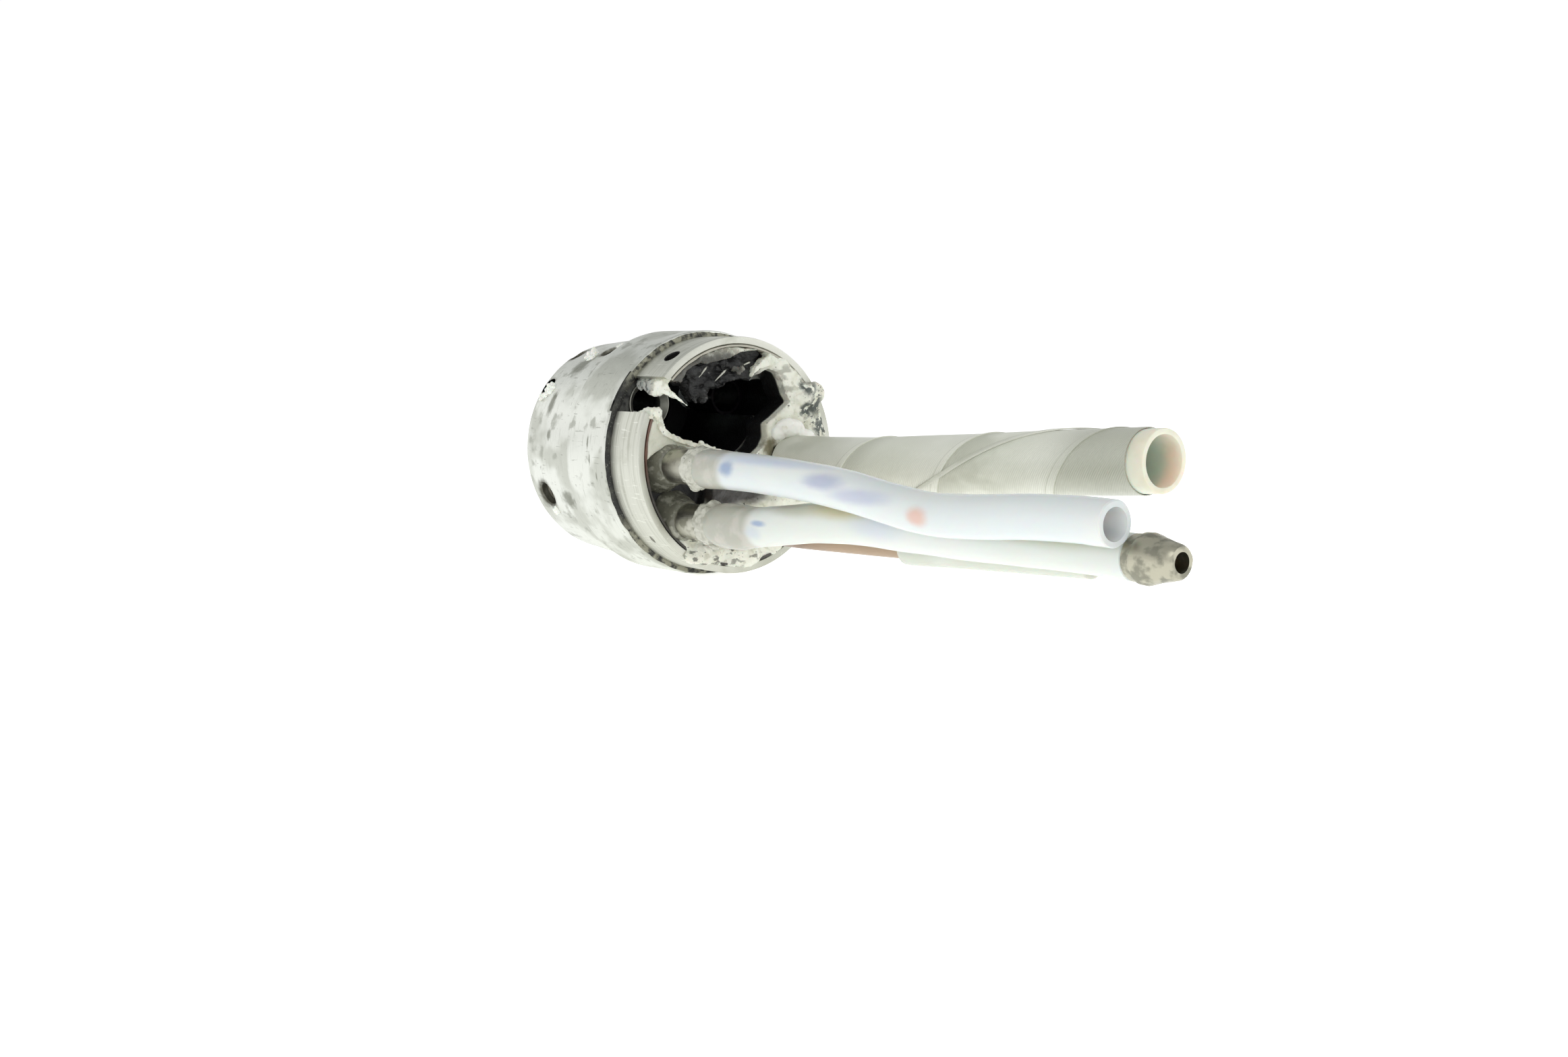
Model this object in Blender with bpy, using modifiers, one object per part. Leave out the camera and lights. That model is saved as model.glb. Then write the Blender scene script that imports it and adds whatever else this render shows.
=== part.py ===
"""Distal tip of a flexible endoscope, stripped of its camera and its outer skin.

The tip's own axis is +X, which points rearwards along the free tubes. Lengths below are in the tip
frame: x = 0 is the rear face of the collar, and y = z = 0 is the axis. The empty tip_axis carries
every part, and sets the tip down so that the shoulder rests on z = 0 of the world.
"""

import math

import bmesh
import bpy
from mathutils import Vector

MM = 0.001
QUARTER = math.pi / 2
MERGE = 1e-7

# Driving dimensions, in millimetres
CLEAR = 0.03                # gap kept between neighbours
BODY_SIDES = 32
SHOULDER_R = 6.32
NOSE_REAR_R, NOSE_FRONT_R = 6.05, 5.69
COLLAR_R, COLLAR_WALL = 6.0, 0.38
FRONT_X = -12.0
NOSE_ROUND = 0.75
BAND_FRONT_X, BAND_REAR_X = -6.27, -2.65
SPIGOT_R, SPIGOT_REAR_X = 5.52, -1.9
LAND_R = 6.08               # inner edge of the shoulder's annular face
SEAL_R, SEAL_DEPTH = 6.05, 0.15
LINER_WALL = 0.1
SLOT_ANGLE, SLOT_WIDTH = 59.0, 2.0      # degrees from the top towards -Y
PIN_HOLE_ANGLE, PIN_HOLE_X, PIN_HOLE_R = 34.0, -1.06, 0.4

CAMERA_YZ, CAMERA_R, CAMERA_FRONT_X = (-0.5, 2.45), 2.87, -8.0
OBJECTIVE_R = 1.72
LIGHT_YZ = {"left": (-3.6, 2.55), "right": (2.5, 2.9)}
LIGHT_R, LIGHT_LENS_R, LIGHT_STEP_X = 0.97, 0.75, -7.0
CHANNEL_YZ, CHANNEL_PIPE_R, CHANNEL_BORE_R = (3.4, -0.45), 1.3, 1.1
AIR_YZ, WATER_YZ, JET_YZ = (-4.0, -0.43), (-3.22, -3.16), (-1.4, -3.6)
PIPE_R, PIPE_BORE_R, PIPE_FERRULE_R = 0.6, 0.42, 0.86
PIPE_FRONT_X, PIPE_STEP_X, PIPE_REAR_X = -9.4, 2.0, 4.4
JET_R, JET_BORE_R = 0.45, 0.3
NOZZLE_YZ, NOZZLE_R, NOZZLE_X, NOZZLE_PROUD = (-3.6, -1.95), 0.62, -9.7, 0.5

TUBE_R, TUBE_BORE_R = 0.93, 0.66
CUFF_X = (2.9, 4.6)
WRAP_R, CHANNEL_TUBE_R = 1.48, 1.36
JET_TUBE_R = 0.72
FREE_ROOT_X = 0.35          # where the channel tube leaves the potting
REAR_X = 31.4

# Centre lines of the free tubes, in millimetres, chosen by hand
AIR_LINE = [(4.85, *AIR_YZ), (7, -4.0, -0.45), (9.5, -4.06, -0.53), (12, -4.2, -0.66),
            (14.5, -4.35, -0.86), (17, -4.48, -1.16), (19.5, -4.52, -1.4), (22, -4.48, -1.36),
            (25, -4.42, -1.16), (27.5, -4.34, -1.07), (29.4, -4.29, -1.11)]
WATER_LINE = [(4.85, *WATER_YZ), (6.5, -3.23, -3.02), (8.5, -3.21, -2.77), (10.5, -3.18, -2.52),
              (13, -3.02, -2.4), (17, -2.92, -2.43), (21, -2.92, -2.44), (25, -2.93, -2.38),
              (29.2, -2.9, -2.42)]
JET_PIPE_LINE = [(4.85, *JET_YZ), (7, -1.4, -3.61), (10, -1.38, -3.55), (14.9, -1.35, -3.42)]
JET_TUBE_LINE = [(15.0, -1.35, -3.41), (18, -1.27, -3.28), (21.5, -1.22, -3.15), (25.5, -1.2, -3.0)]
CHANNEL_LINE = [(FREE_ROOT_X, *CHANNEL_YZ), (3, 3.4, -0.42), (6, 3.4, -0.33), (10, 3.4, -0.12),
                (15, 3.4, 0.2), (20, 3.4, 0.53), (25.0, 3.4, 0.83)]
WRAP_REAR_X = 24.1

NOZZLE_FRONT_X = FRONT_X - NOZZLE_PROUD
MIDDLE_X = (NOZZLE_FRONT_X + REAR_X) / 2
AXIS_HEIGHT = SHOULDER_R * math.cos(math.pi / BODY_SIDES)


def clear_scene():
    """Remove whatever the file holds."""
    for obj in list(bpy.data.objects):
        bpy.data.objects.remove(obj, do_unlink=True)
    for collection in list(bpy.data.collections):
        bpy.data.collections.remove(collection)


def finish(name, rgb, roughness, metallic=0.0, alpha=1.0):
    """A Principled material of the part's own."""
    mat = bpy.data.materials.new(name)
    mat.use_nodes = True
    bsdf = mat.node_tree.nodes["Principled BSDF"]
    bsdf.inputs["Base Color"].default_value = (*rgb, 1.0)
    bsdf.inputs["Roughness"].default_value = roughness
    bsdf.inputs["Metallic"].default_value = metallic
    bsdf.inputs["Alpha"].default_value = alpha
    return mat


STEEL = ((0.62, 0.62, 0.59), 0.35, 1.0)
DULL_STEEL = ((0.55, 0.55, 0.52), 0.45, 1.0)
BLACK = ((0.012, 0.012, 0.014), 0.6)
POTTING = ((0.72, 0.71, 0.6), 0.5)
AMBER = ((0.3, 0.13, 0.06), 0.4)
CLEAR_TUBE = ((0.8, 0.85, 0.9), 0.25, 0.0, 0.6)
WRAPPED = ((0.6, 0.6, 0.53), 0.5)
GLASS = ((0.75, 0.8, 0.85), 0.05, 0.0, 0.4)
GLUE = ((0.78, 0.76, 0.66), 0.3, 0.0, 0.8)


class Tip:
    """The collections, and the empty that carries every part."""

    def __init__(self):
        self.parts = bpy.data.collections.new("endoscope_tip")
        self.cutters = bpy.data.collections.new("cutters")
        for collection in (self.parts, self.cutters):
            bpy.context.scene.collection.children.link(collection)
        self.axis = bpy.data.objects.new("tip_axis", None)
        self.axis.location = (-MIDDLE_X * MM, 0, AXIS_HEIGHT * MM)
        self.parts.objects.link(self.axis)

    def take(self, obj, name, look=None):
        """Put obj under the empty: among the parts if it has a look, or else among the cutters."""
        obj.name = name
        for collection in list(obj.users_collection):
            collection.objects.unlink(obj)
        obj.parent = self.axis
        if look is None:
            self.cutters.objects.link(obj)
            obj.hide_render = True
            obj.display_type = "WIRE"
            return obj
        self.parts.objects.link(obj)
        obj.data.materials.append(finish(name, *look))
        if obj.type == "MESH":
            obj.data.shade_smooth()
            obj.data.set_sharp_from_angle(angle=math.radians(35))
        return obj


def turned(tip, name, profile, look, yz=(0, 0), sides=BODY_SIDES):
    """A turned piece: (x, radius) points that run from front to rear down its outer side."""
    mesh = bpy.data.meshes.new(name)
    ring = profile[0][1] > 0
    points = [(x * MM, 0, r * MM) for x, r in profile]
    edges = [(i, i + 1) for i in range(len(points) - 1)]
    if ring:
        edges.append((len(points) - 1, 0))
    mesh.from_pydata(points, edges, [])
    obj = bpy.data.objects.new(name, mesh)
    bpy.context.scene.collection.objects.link(obj)
    screw = obj.modifiers.new("turn", "SCREW")
    screw.axis = "X"
    screw.steps = screw.render_steps = sides
    screw.use_merge_vertices = True
    screw.merge_threshold = MERGE
    screw.use_normal_flip = True
    screw.use_smooth_shade = True
    obj.location = (0, yz[0] * MM, yz[1] * MM)
    obj.rotation_euler.x = math.pi / sides
    return tip.take(obj, name, look)


def ring_profile(x0, x1, inner, outer, chamfer=0.0):
    """The closed section of a ring, with its two outer edges chamfered."""
    if not chamfer:
        return [(x0, inner), (x0, outer), (x1, outer), (x1, inner)]
    return [(x0, inner), (x0, outer - chamfer), (x0 + chamfer, outer),
            (x1 - chamfer, outer), (x1, outer - chamfer), (x1, inner)]


def rod_profile(x0, x1, radius):
    """The open section of a solid rod, from axis to axis."""
    return [(x0, 0), (x0, radius), (x1, radius), (x1, 0)]


def bore_cutter(tip, name, yz, radius, x0, x1, sides=20):
    """A cylinder along the tip's axis that cuts a bore."""
    bpy.ops.mesh.primitive_cylinder_add(
        vertices=sides, radius=radius * MM, depth=(x1 - x0) * MM, rotation=(0, QUARTER, 0),
        location=((x0 + x1) / 2 * MM, yz[0] * MM, yz[1] * MM))
    return tip.take(bpy.context.object, name)


def radial_cylinder(x, angle, radius, inner, outer, sides=12):
    """A cylinder that stands on the axis, turned from the top towards -Y by angle degrees."""
    turn = math.radians(angle)
    out = Vector((0, -math.sin(turn), math.cos(turn)))
    centre = Vector((x, 0, 0)) + out * (inner + outer) / 2
    bpy.ops.mesh.primitive_cylinder_add(
        vertices=sides, radius=radius * MM, depth=(outer - inner) * MM,
        rotation=(turn, 0, 0), location=centre * MM)
    return bpy.context.object


def slot_cutter(tip, name, x0, x1, inner, width=SLOT_WIDTH):
    """A box that cuts the cable slot through a wall."""
    turn = math.radians(SLOT_ANGLE)
    out = Vector((0, -math.sin(turn), math.cos(turn)))
    height = 8.0 - inner
    centre = Vector(((x0 + x1) / 2, 0, 0)) + out * (inner + height / 2)
    bpy.ops.mesh.primitive_cube_add(
        size=1, scale=((x1 - x0) * MM, width * MM, height * MM),
        rotation=(turn, 0, 0), location=centre * MM)
    return tip.take(bpy.context.object, name)


def cut(obj, *cutters):
    """Subtract each cutter from obj."""
    for cutter in cutters:
        boolean = obj.modifiers.new(cutter.name, "BOOLEAN")
        boolean.operation = "DIFFERENCE"
        boolean.solver = "EXACT"
        boolean.object = cutter
    return obj


def smooth_line(points, spacing):
    """Points about spacing apart on a Catmull-Rom curve through the given ones."""
    route = [Vector(p) for p in points]
    padded = [route[0] * 2 - route[1], *route, route[-1] * 2 - route[-2]]
    line = []
    for a, b, c, d in zip(padded, padded[1:], padded[2:], padded[3:]):
        count = max(1, round((c - b).length / spacing))
        for i in range(count):
            t = i / count
            line.append(0.5 * (2 * b + (c - a) * t + (2 * a - 5 * b + 4 * c - d) * t * t
                               + (3 * b - a - 3 * c + d) * t ** 3))
    line.append(route[-1])
    return line


def rod_along(name, line, radius, resolution=2):
    """A mesh rod with flat caps along a line."""
    curve = bpy.data.curves.new(name, "CURVE")
    curve.dimensions = "3D"
    curve.bevel_depth = radius * MM
    curve.bevel_resolution = resolution
    curve.use_fill_caps = True
    spline = curve.splines.new("POLY")
    spline.points.add(len(line) - 1)
    for point, place in zip(spline.points, line):
        point.co = (*(place * MM), 1)
    guide = bpy.data.objects.new(name + "_guide", curve)
    bpy.context.scene.collection.objects.link(guide)
    evaluated = guide.evaluated_get(bpy.context.evaluated_depsgraph_get())
    mesh = bpy.data.meshes.new_from_object(evaluated)
    bpy.data.objects.remove(guide)
    work = bmesh.new()
    work.from_mesh(mesh)
    bmesh.ops.remove_doubles(work, verts=work.verts, dist=MERGE)
    bmesh.ops.recalc_face_normals(work, faces=work.faces)
    work.to_mesh(mesh)
    work.free()
    obj = bpy.data.objects.new(name, mesh)
    bpy.context.scene.collection.objects.link(obj)
    return obj


def hollow_tube(tip, name, route, outer, inner, look, spacing=3.0, resolution=3):
    """A tube along a route, bored from end to end."""
    line = smooth_line(route, spacing)
    start = (line[0] - line[1]).normalized()
    end = (line[-1] - line[-2]).normalized()
    through = [line[0] + start, *line, line[-1] + end]
    tube = tip.take(rod_along(name, line, outer, resolution), name, look)
    bore = tip.take(rod_along(name + "_bore", through, inner, resolution), name + "_bore")
    return cut(tube, bore)


def upto(route, x):
    """The route as far as x, ending on it."""
    kept = [p for p in route if p[0] < x]
    a, b = Vector(kept[-1]), Vector(route[len(kept)])
    return kept + [tuple(a.lerp(b, (x - a.x) / (b.x - a.x)))]


def tip_body(tip):
    """The machined body: nose, shoulder band and the spigot that carries the collar."""
    arc = [(FRONT_X + NOSE_ROUND * (1 - math.cos(a)), NOSE_FRONT_R - NOSE_ROUND * (1 - math.sin(a)))
           for a in (QUARTER * i / 3 for i in range(4))]
    body = turned(tip, "tip_body", [
        (FRONT_X, 0), *arc,
        (BAND_FRONT_X - 0.2, NOSE_REAR_R), (BAND_FRONT_X, SHOULDER_R),
        (BAND_REAR_X - 0.07, SHOULDER_R), (BAND_REAR_X, SHOULDER_R - 0.06),
        (BAND_REAR_X, LAND_R), (BAND_REAR_X - SEAL_DEPTH, LAND_R),
        (BAND_REAR_X - SEAL_DEPTH, SPIGOT_R), (SPIGOT_REAR_X, SPIGOT_R), (SPIGOT_REAR_X, 0)], STEEL)
    beyond = FRONT_X - 1
    behind = SPIGOT_REAR_X + 0.6
    cut(body,
        bore_cutter(tip, "camera_bore", CAMERA_YZ, CAMERA_R, CAMERA_FRONT_X, behind, 28),
        bore_cutter(tip, "objective_bore", CAMERA_YZ, OBJECTIVE_R, beyond, -7.7))
    for side, yz in LIGHT_YZ.items():
        cut(body,
            bore_cutter(tip, side + "_light_bore", yz, LIGHT_R, LIGHT_STEP_X, behind + 0.1, 16),
            bore_cutter(tip, side + "_lens_bore", yz, LIGHT_LENS_R, beyond, LIGHT_STEP_X + 0.3, 16))
    cut(body, bore_cutter(tip, "channel_bore", CHANNEL_YZ, CHANNEL_PIPE_R + CLEAR, beyond, behind))
    for name, yz, radius in (("air", AIR_YZ, PIPE_R), ("water", WATER_YZ, PIPE_R),
                             ("jet", JET_YZ, JET_R)):
        front = beyond if name == "jet" else PIPE_FRONT_X - CLEAR
        cut(body, bore_cutter(tip, name + "_bore", yz, radius + CLEAR, front, behind, 12))
    cut(body, bore_cutter(tip, "nozzle_bore", NOZZLE_YZ, NOZZLE_R + CLEAR, beyond, -9.1, 12),
        manifold_cutter(tip),
        slot_cutter(tip, "spigot_slot", BAND_REAR_X - SEAL_DEPTH + 0.02, behind + 0.3, 3.2,
                    SLOT_WIDTH + 0.3))
    for name, x, angle, radius, inner in (
            ("objective_screw_hole", -11.2, 28.5, 0.4, 3.9), ("camera_screw_hole", -7.7, 29.0, 0.4, 4.6),
            ("light_screw_hole", -11.0, 54.5, 0.4, 4.6), ("nozzle_screw_hole", -10.1, 115.0, 0.64, 4.5)):
        cut(body, tip.take(radial_cylinder(x, angle, radius, inner, 7.0), name))
    return body


def manifold_cutter(tip):
    """The cross bore that joins the air and the water bores behind the nozzle."""
    air, water = Vector((0, *AIR_YZ)), Vector((0, *WATER_YZ))
    run = water - air
    bpy.ops.mesh.primitive_cylinder_add(
        vertices=12, radius=0.42 * MM, depth=run.length * MM,
        rotation=(math.atan2(-run.y, run.z), 0, 0),
        location=Vector((PIPE_FRONT_X, *((air + water) / 2).yz)) * MM)
    return tip.take(bpy.context.object, "manifold")


def collar_group(tip):
    """The rear collar, the seal in front of it and the insulating liner inside it."""
    inner = COLLAR_R - COLLAR_WALL
    collar_x = BAND_REAR_X
    collar = turned(tip, "rear_collar", ring_profile(collar_x, 0, inner, COLLAR_R, 0.05), STEEL)
    cut(collar, slot_cutter(tip, "collar_slot", collar_x - 0.5, 0.5, 4.6),
        tip.take(radial_cylinder(PIN_HOLE_X, PIN_HOLE_ANGLE, PIN_HOLE_R, 5.0, 7.0), "pin_hole"))
    turned(tip, "shoulder_seal",
           ring_profile(BAND_REAR_X - SEAL_DEPTH + CLEAR, BAND_REAR_X - CLEAR, SPIGOT_R + CLEAR, SEAL_R),
           BLACK)
    outer = inner - CLEAR
    liner = turned(tip, "insulating_liner",
                   ring_profile(SPIGOT_REAR_X + CLEAR, -0.02, outer - LINER_WALL, outer), AMBER)
    cut(liner, slot_cutter(tip, "liner_slot", SPIGOT_REAR_X - 0.4, 0.6, 4.6, SLOT_WIDTH + 0.1))


def rear_potting(tip):
    """The cast resin that fills the collar round the pipes, left open where the camera was."""
    outer = COLLAR_R - COLLAR_WALL - LINER_WALL - 2 * CLEAR
    front = SPIGOT_REAR_X + CLEAR
    low, high = front - 0.5, 0.5
    resin = turned(tip, "rear_potting", rod_profile(front, -0.02, outer), POTTING)
    cut(resin,
        bore_cutter(tip, "camera_pocket", CAMERA_YZ, CAMERA_R + 0.02, low, high, 28),
        bore_cutter(tip, "left_pocket", LIGHT_YZ["left"], LIGHT_R + 0.25, low - 0.1, high + 0.1, 16),
        bore_cutter(tip, "right_pocket", LIGHT_YZ["right"], LIGHT_R + 0.1, low - 0.2, high + 0.2, 16),
        slot_cutter(tip, "potting_slot", low - 0.3, high + 0.3, 3.4, SLOT_WIDTH + 0.2),
        bore_cutter(tip, "channel_hole", CHANNEL_YZ, CHANNEL_PIPE_R + CLEAR, low, high),
        bore_cutter(tip, "air_hole", AIR_YZ, PIPE_FERRULE_R + CLEAR, low, high, 16),
        bore_cutter(tip, "water_hole", WATER_YZ, PIPE_FERRULE_R + CLEAR, low, high, 16),
        bore_cutter(tip, "jet_hole", JET_YZ, JET_R + CLEAR, low, high, 12),
        bore_cutter(tip, "pipe_recess", (-3.7, -1.7), 2.25, -0.9, high + 0.3, 24))
    residue = turned(tip, "torn_adhesive", rod_profile(-1.4, -0.1, CAMERA_R - 0.03), BLACK, CAMERA_YZ, 28)
    bpy.ops.mesh.primitive_cube_add(size=8 * MM, location=(0, 0, (CAMERA_YZ[1] + 2.1 - 4) * MM))
    cut(residue, tip.take(bpy.context.object, "adhesive_level"))


def optics(tip):
    """What is left in the front face: the objective and the two light-guide ends."""
    barrel_bore = OBJECTIVE_R - 0.4
    face = FRONT_X + CLEAR
    turned(tip, "objective_barrel",
           ring_profile(face, -8.1, barrel_bore, OBJECTIVE_R - 0.02, 0.08), BLACK, CAMERA_YZ, 20)
    lens_r = barrel_bore - CLEAR
    turned(tip, "objective_window", rod_profile(face, face + 0.7, lens_r), GLASS, CAMERA_YZ, 16)
    turned(tip, "lens_spacer", ring_profile(-11.2, -10.4, lens_r - 0.35, lens_r), BLACK, CAMERA_YZ, 16)
    turned(tip, "rear_lens", [(-10.3, 0), (-10.2, 0.6), (-9.95, lens_r), (-9.3, lens_r),
                              (-9.05, 0.6), (-8.95, 0)], GLASS, CAMERA_YZ, 16)
    for side, yz in LIGHT_YZ.items():
        turned(tip, side + "_light_lens",
               rod_profile(face, -10.4, LIGHT_LENS_R - CLEAR), GLASS, yz, 12)
        turned(tip, side + "_light_sleeve",
               ring_profile(LIGHT_STEP_X + CLEAR, -2.1, LIGHT_R - 0.14, LIGHT_R - 0.02),
               STEEL, yz, 16)


def nozzle(tip):
    """The air and water nozzle, a capped stem that blows across the objective."""
    proud_r = NOZZLE_R + 0.12
    stem = turned(tip, "air_water_nozzle", [
        (NOZZLE_FRONT_X, 0), (NOZZLE_FRONT_X, proud_r - 0.15), (NOZZLE_FRONT_X + 0.15, proud_r),
        (FRONT_X - CLEAR, proud_r), (FRONT_X - CLEAR, NOZZLE_R), (NOZZLE_X, NOZZLE_R), (NOZZLE_X, 0)],
        DULL_STEEL, NOZZLE_YZ, 12)
    cut(stem, bore_cutter(tip, "nozzle_way", NOZZLE_YZ, 0.36, FRONT_X - 0.25, NOZZLE_X + 0.5, 10))
    bpy.ops.mesh.primitive_cube_add(
        size=1, scale=(0.22 * MM, 0.5 * MM, 1.6 * MM), rotation=(math.radians(-35), 0, 0),
        location=((FRONT_X - 0.17) * MM, (NOZZLE_YZ[0] + 0.5) * MM, (NOZZLE_YZ[1] + 0.72) * MM))
    cut(stem, tip.take(bpy.context.object, "nozzle_mouth"))


def pipes(tip):
    """The metal pipes set in the body, and what binds the clear tubes to them."""
    for name, yz in (("air", AIR_YZ), ("water", WATER_YZ)):
        turned(tip, name + "_pipe", [
            (PIPE_FRONT_X, PIPE_BORE_R), (PIPE_FRONT_X, PIPE_R),
            (SPIGOT_REAR_X + CLEAR, PIPE_R), (SPIGOT_REAR_X + CLEAR, PIPE_FERRULE_R),
            (PIPE_STEP_X, PIPE_FERRULE_R), (PIPE_STEP_X, PIPE_R),
            (PIPE_REAR_X, PIPE_R), (PIPE_REAR_X, PIPE_BORE_R)], DULL_STEEL, yz, 16)
        x0, x1 = PIPE_STEP_X + CLEAR, CUFF_X[0] - CLEAR
        turned(tip, name + "_glue_ring", ring_profile(x0, x1, PIPE_R + CLEAR, 1.02, 0.08), GLUE, yz, 16)
        turned(tip, name + "_tube_cuff", ring_profile(*CUFF_X, PIPE_R + CLEAR, TUBE_R), CLEAR_TUBE, yz, 16)
    turned(tip, "channel_pipe",
           ring_profile(FRONT_X + CLEAR, -0.02, CHANNEL_BORE_R, CHANNEL_PIPE_R), STEEL, CHANNEL_YZ, 20)
    turned(tip, "jet_pipe_root",
           ring_profile(FRONT_X + CLEAR, CUFF_X[1], JET_BORE_R, JET_R), AMBER, JET_YZ, 12)


def screws(tip):
    """The two set screws that are still in their holes."""
    for name, x, angle, radius, inner, outer in (
            ("objective_screw", -11.2, 28.5, 0.37, 4.15, 5.1),
            ("nozzle_screw", -10.1, 115.0, 0.61, 4.75, 5.35)):
        screw = tip.take(radial_cylinder(x, angle, radius, inner, outer), name, DULL_STEEL)
        socket = radial_cylinder(x, angle, radius * 0.5, outer - 0.3, outer + 0.5, sides=6)
        cut(screw, tip.take(socket, name + "_socket"))


def free_lines(tip):
    """The tubes that leave the tip and bend freely."""
    hollow_tube(tip, "air_tube", AIR_LINE, TUBE_R, TUBE_BORE_R, CLEAR_TUBE)
    hollow_tube(tip, "water_tube", WATER_LINE, TUBE_R, TUBE_BORE_R, CLEAR_TUBE)
    hollow_tube(tip, "jet_pipe", JET_PIPE_LINE, JET_R, JET_BORE_R, AMBER, resolution=2)
    hollow_tube(tip, "jet_tube", JET_TUBE_LINE, JET_TUBE_R, JET_R, CLEAR_TUBE, resolution=2)
    hollow_tube(tip, "channel_tube", CHANNEL_LINE, CHANNEL_TUBE_R, CHANNEL_BORE_R, CLEAR_TUBE, 4.0, 4)
    hollow_tube(tip, "channel_wrap", upto(CHANNEL_LINE, WRAP_REAR_X), WRAP_R,
                CHANNEL_TUBE_R + 0.05, WRAPPED, 4.0, 4)
    end_x, end_y, end_z = WATER_LINE[-1]
    turned(tip, "water_stub", [
        (end_x + CLEAR, 0.4), (end_x + CLEAR, 0.9), (end_x + 0.4, 0.92), (end_x + 0.5, 0.98),
        (end_x + 0.8, 0.98), (REAR_X, 0.64), (REAR_X, 0.4)],
        DULL_STEEL, (end_y, end_z), 14)


def main():
    clear_scene()
    tip = Tip()
    tip_body(tip)
    collar_group(tip)
    rear_potting(tip)
    optics(tip)
    nozzle(tip)
    pipes(tip)
    screws(tip)
    free_lines(tip)


main()
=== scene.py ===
"""Looks of an endoscope's distal tip, stripped of its camera and its outer skin.

Each piece is drawn in millimetres in the tip's own frame: +X points rearwards along the free tubes,
x = 0 is the rear face of the collar, and y = z = 0 is the tip's axis. Workshop.deliver turns a drawing
into metres, in the place where the frame has the tip.
"""

from __future__ import annotations

import logging
import math
import random
from dataclasses import dataclass, field
from enum import Enum
from typing import Any, Callable, Sequence

import bmesh
import bpy
from mathutils import Matrix, Vector, noise

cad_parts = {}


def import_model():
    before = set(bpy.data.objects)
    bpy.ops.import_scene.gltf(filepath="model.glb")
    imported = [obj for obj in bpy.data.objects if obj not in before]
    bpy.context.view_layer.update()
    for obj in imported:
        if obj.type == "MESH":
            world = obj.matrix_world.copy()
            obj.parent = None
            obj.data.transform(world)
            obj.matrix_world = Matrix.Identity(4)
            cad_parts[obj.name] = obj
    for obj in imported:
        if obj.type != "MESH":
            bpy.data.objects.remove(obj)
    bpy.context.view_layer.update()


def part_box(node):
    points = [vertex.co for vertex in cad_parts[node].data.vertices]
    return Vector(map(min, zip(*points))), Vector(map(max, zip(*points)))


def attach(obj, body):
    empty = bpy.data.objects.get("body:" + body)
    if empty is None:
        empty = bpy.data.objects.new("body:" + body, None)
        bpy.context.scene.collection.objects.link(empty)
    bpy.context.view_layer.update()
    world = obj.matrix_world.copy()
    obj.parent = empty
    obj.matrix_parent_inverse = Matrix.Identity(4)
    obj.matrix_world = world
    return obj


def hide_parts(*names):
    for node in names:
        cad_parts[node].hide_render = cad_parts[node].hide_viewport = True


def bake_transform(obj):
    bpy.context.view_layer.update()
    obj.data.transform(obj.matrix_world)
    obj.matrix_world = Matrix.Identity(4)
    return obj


LOG = logging.getLogger("endoscope_tip")

MM = 0.001
TURN = 2 * math.pi
SHARP_ANGLE = math.radians(32)
MERGE = 1e-4                # mm, closes seams and poles
METAL_FACE, CUT_FACE = 0, 1  # material places: the outside of a body, and what a cutter leaves
FINE, MEDIUM, COARSE = 288, 96, 48   # facets round a turned piece

# Where the bores stand in the tip, as (y, z)
CAMERA_YZ = (-0.5, 2.45)
LEFT_LIGHT_YZ, RIGHT_LIGHT_YZ = (-3.6, 2.55), (2.5, 2.9)
CHANNEL_YZ = (3.4, -0.45)
AIR_YZ, WATER_YZ, JET_YZ = (-4.0, -0.43), (-3.22, -3.16), (-1.4, -3.6)
NOZZLE_YZ = (-3.6, -1.95)
# Ends along x: the nose's face, the shoulder's rear face, the resin's inner face, the pipes' front ends
FACE_X, SHOULDER_X, RESIN_X, PIPE_FRONT_X = -12.0, -2.65, -1.87, -9.4
COLLAR_R, COLLAR_WALL = 6.0, 0.38
CLEAR = 0.03                # between pieces that nearly touch

# Dull stains on the nose and the shoulder: middle, half sizes, raggedness, in mm of the tip's frame
STAINS = (((-9.5, -5.3, 2.45), (0.28, 0.5, 0.72), 0.5), ((-8.9, -3.9, 4.4), (0.7, 0.7, 0.5), 0.5),
          ((-8.95, -5.8, 0.8), (0.2, 0.5, 0.26), 0.5), ((-6.4, -6.0, 0.2), (0.16, 0.4, 0.14), 0.5),
          ((-4.25, -6.3, 0.6), (0.07, 0.4, 0.3), 0.6), ((-4.05, -6.3, -0.25), (0.06, 0.4, 0.26), 0.6),
          ((-3.5, -6.2, -1.1), (0.05, 0.4, 0.2), 0.6), ((-7.6, -5.6, -2.6), (0.6, 0.6, 0.5), 0.6))
# Grime in and round the set-screw holes: middle and half size
HOLE_GRIME = (((-11.2, -2.7, 5.0), 0.62), ((-7.7, -2.88, 5.2), 0.56), ((-11.0, -4.7, 3.35), 0.55),
              ((-10.1, -5.2, -2.42), 0.82))

Point = tuple[float, float]
Place = tuple[float, float, float]
Field = Callable[[Vector], float]


class Body(Enum):
    """The bodies of the frame that a piece can ride on."""

    TIP = "tip"
    FLUID_LINES = "fluid_lines"
    CHANNEL_LINE = "channel_line"


class Slot(Enum):
    """The record's material slots."""

    MACHINED = "machined_steel"
    TURNED = "turned_steel"
    DULL = "dull_steel"
    ANODISED = "black_anodised"
    SEALANT = "black_sealant"
    POLYIMIDE = "amber_polyimide"
    RESIN = "potting_resin"
    GLASS = "optical_glass"
    GLUE = "clear_adhesive"
    TUBING = "clear_tubing"
    LINER = "channel_liner"
    TAPE = "wrap_tape"


# ---------------------------------------------------------------- finishes

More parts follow.
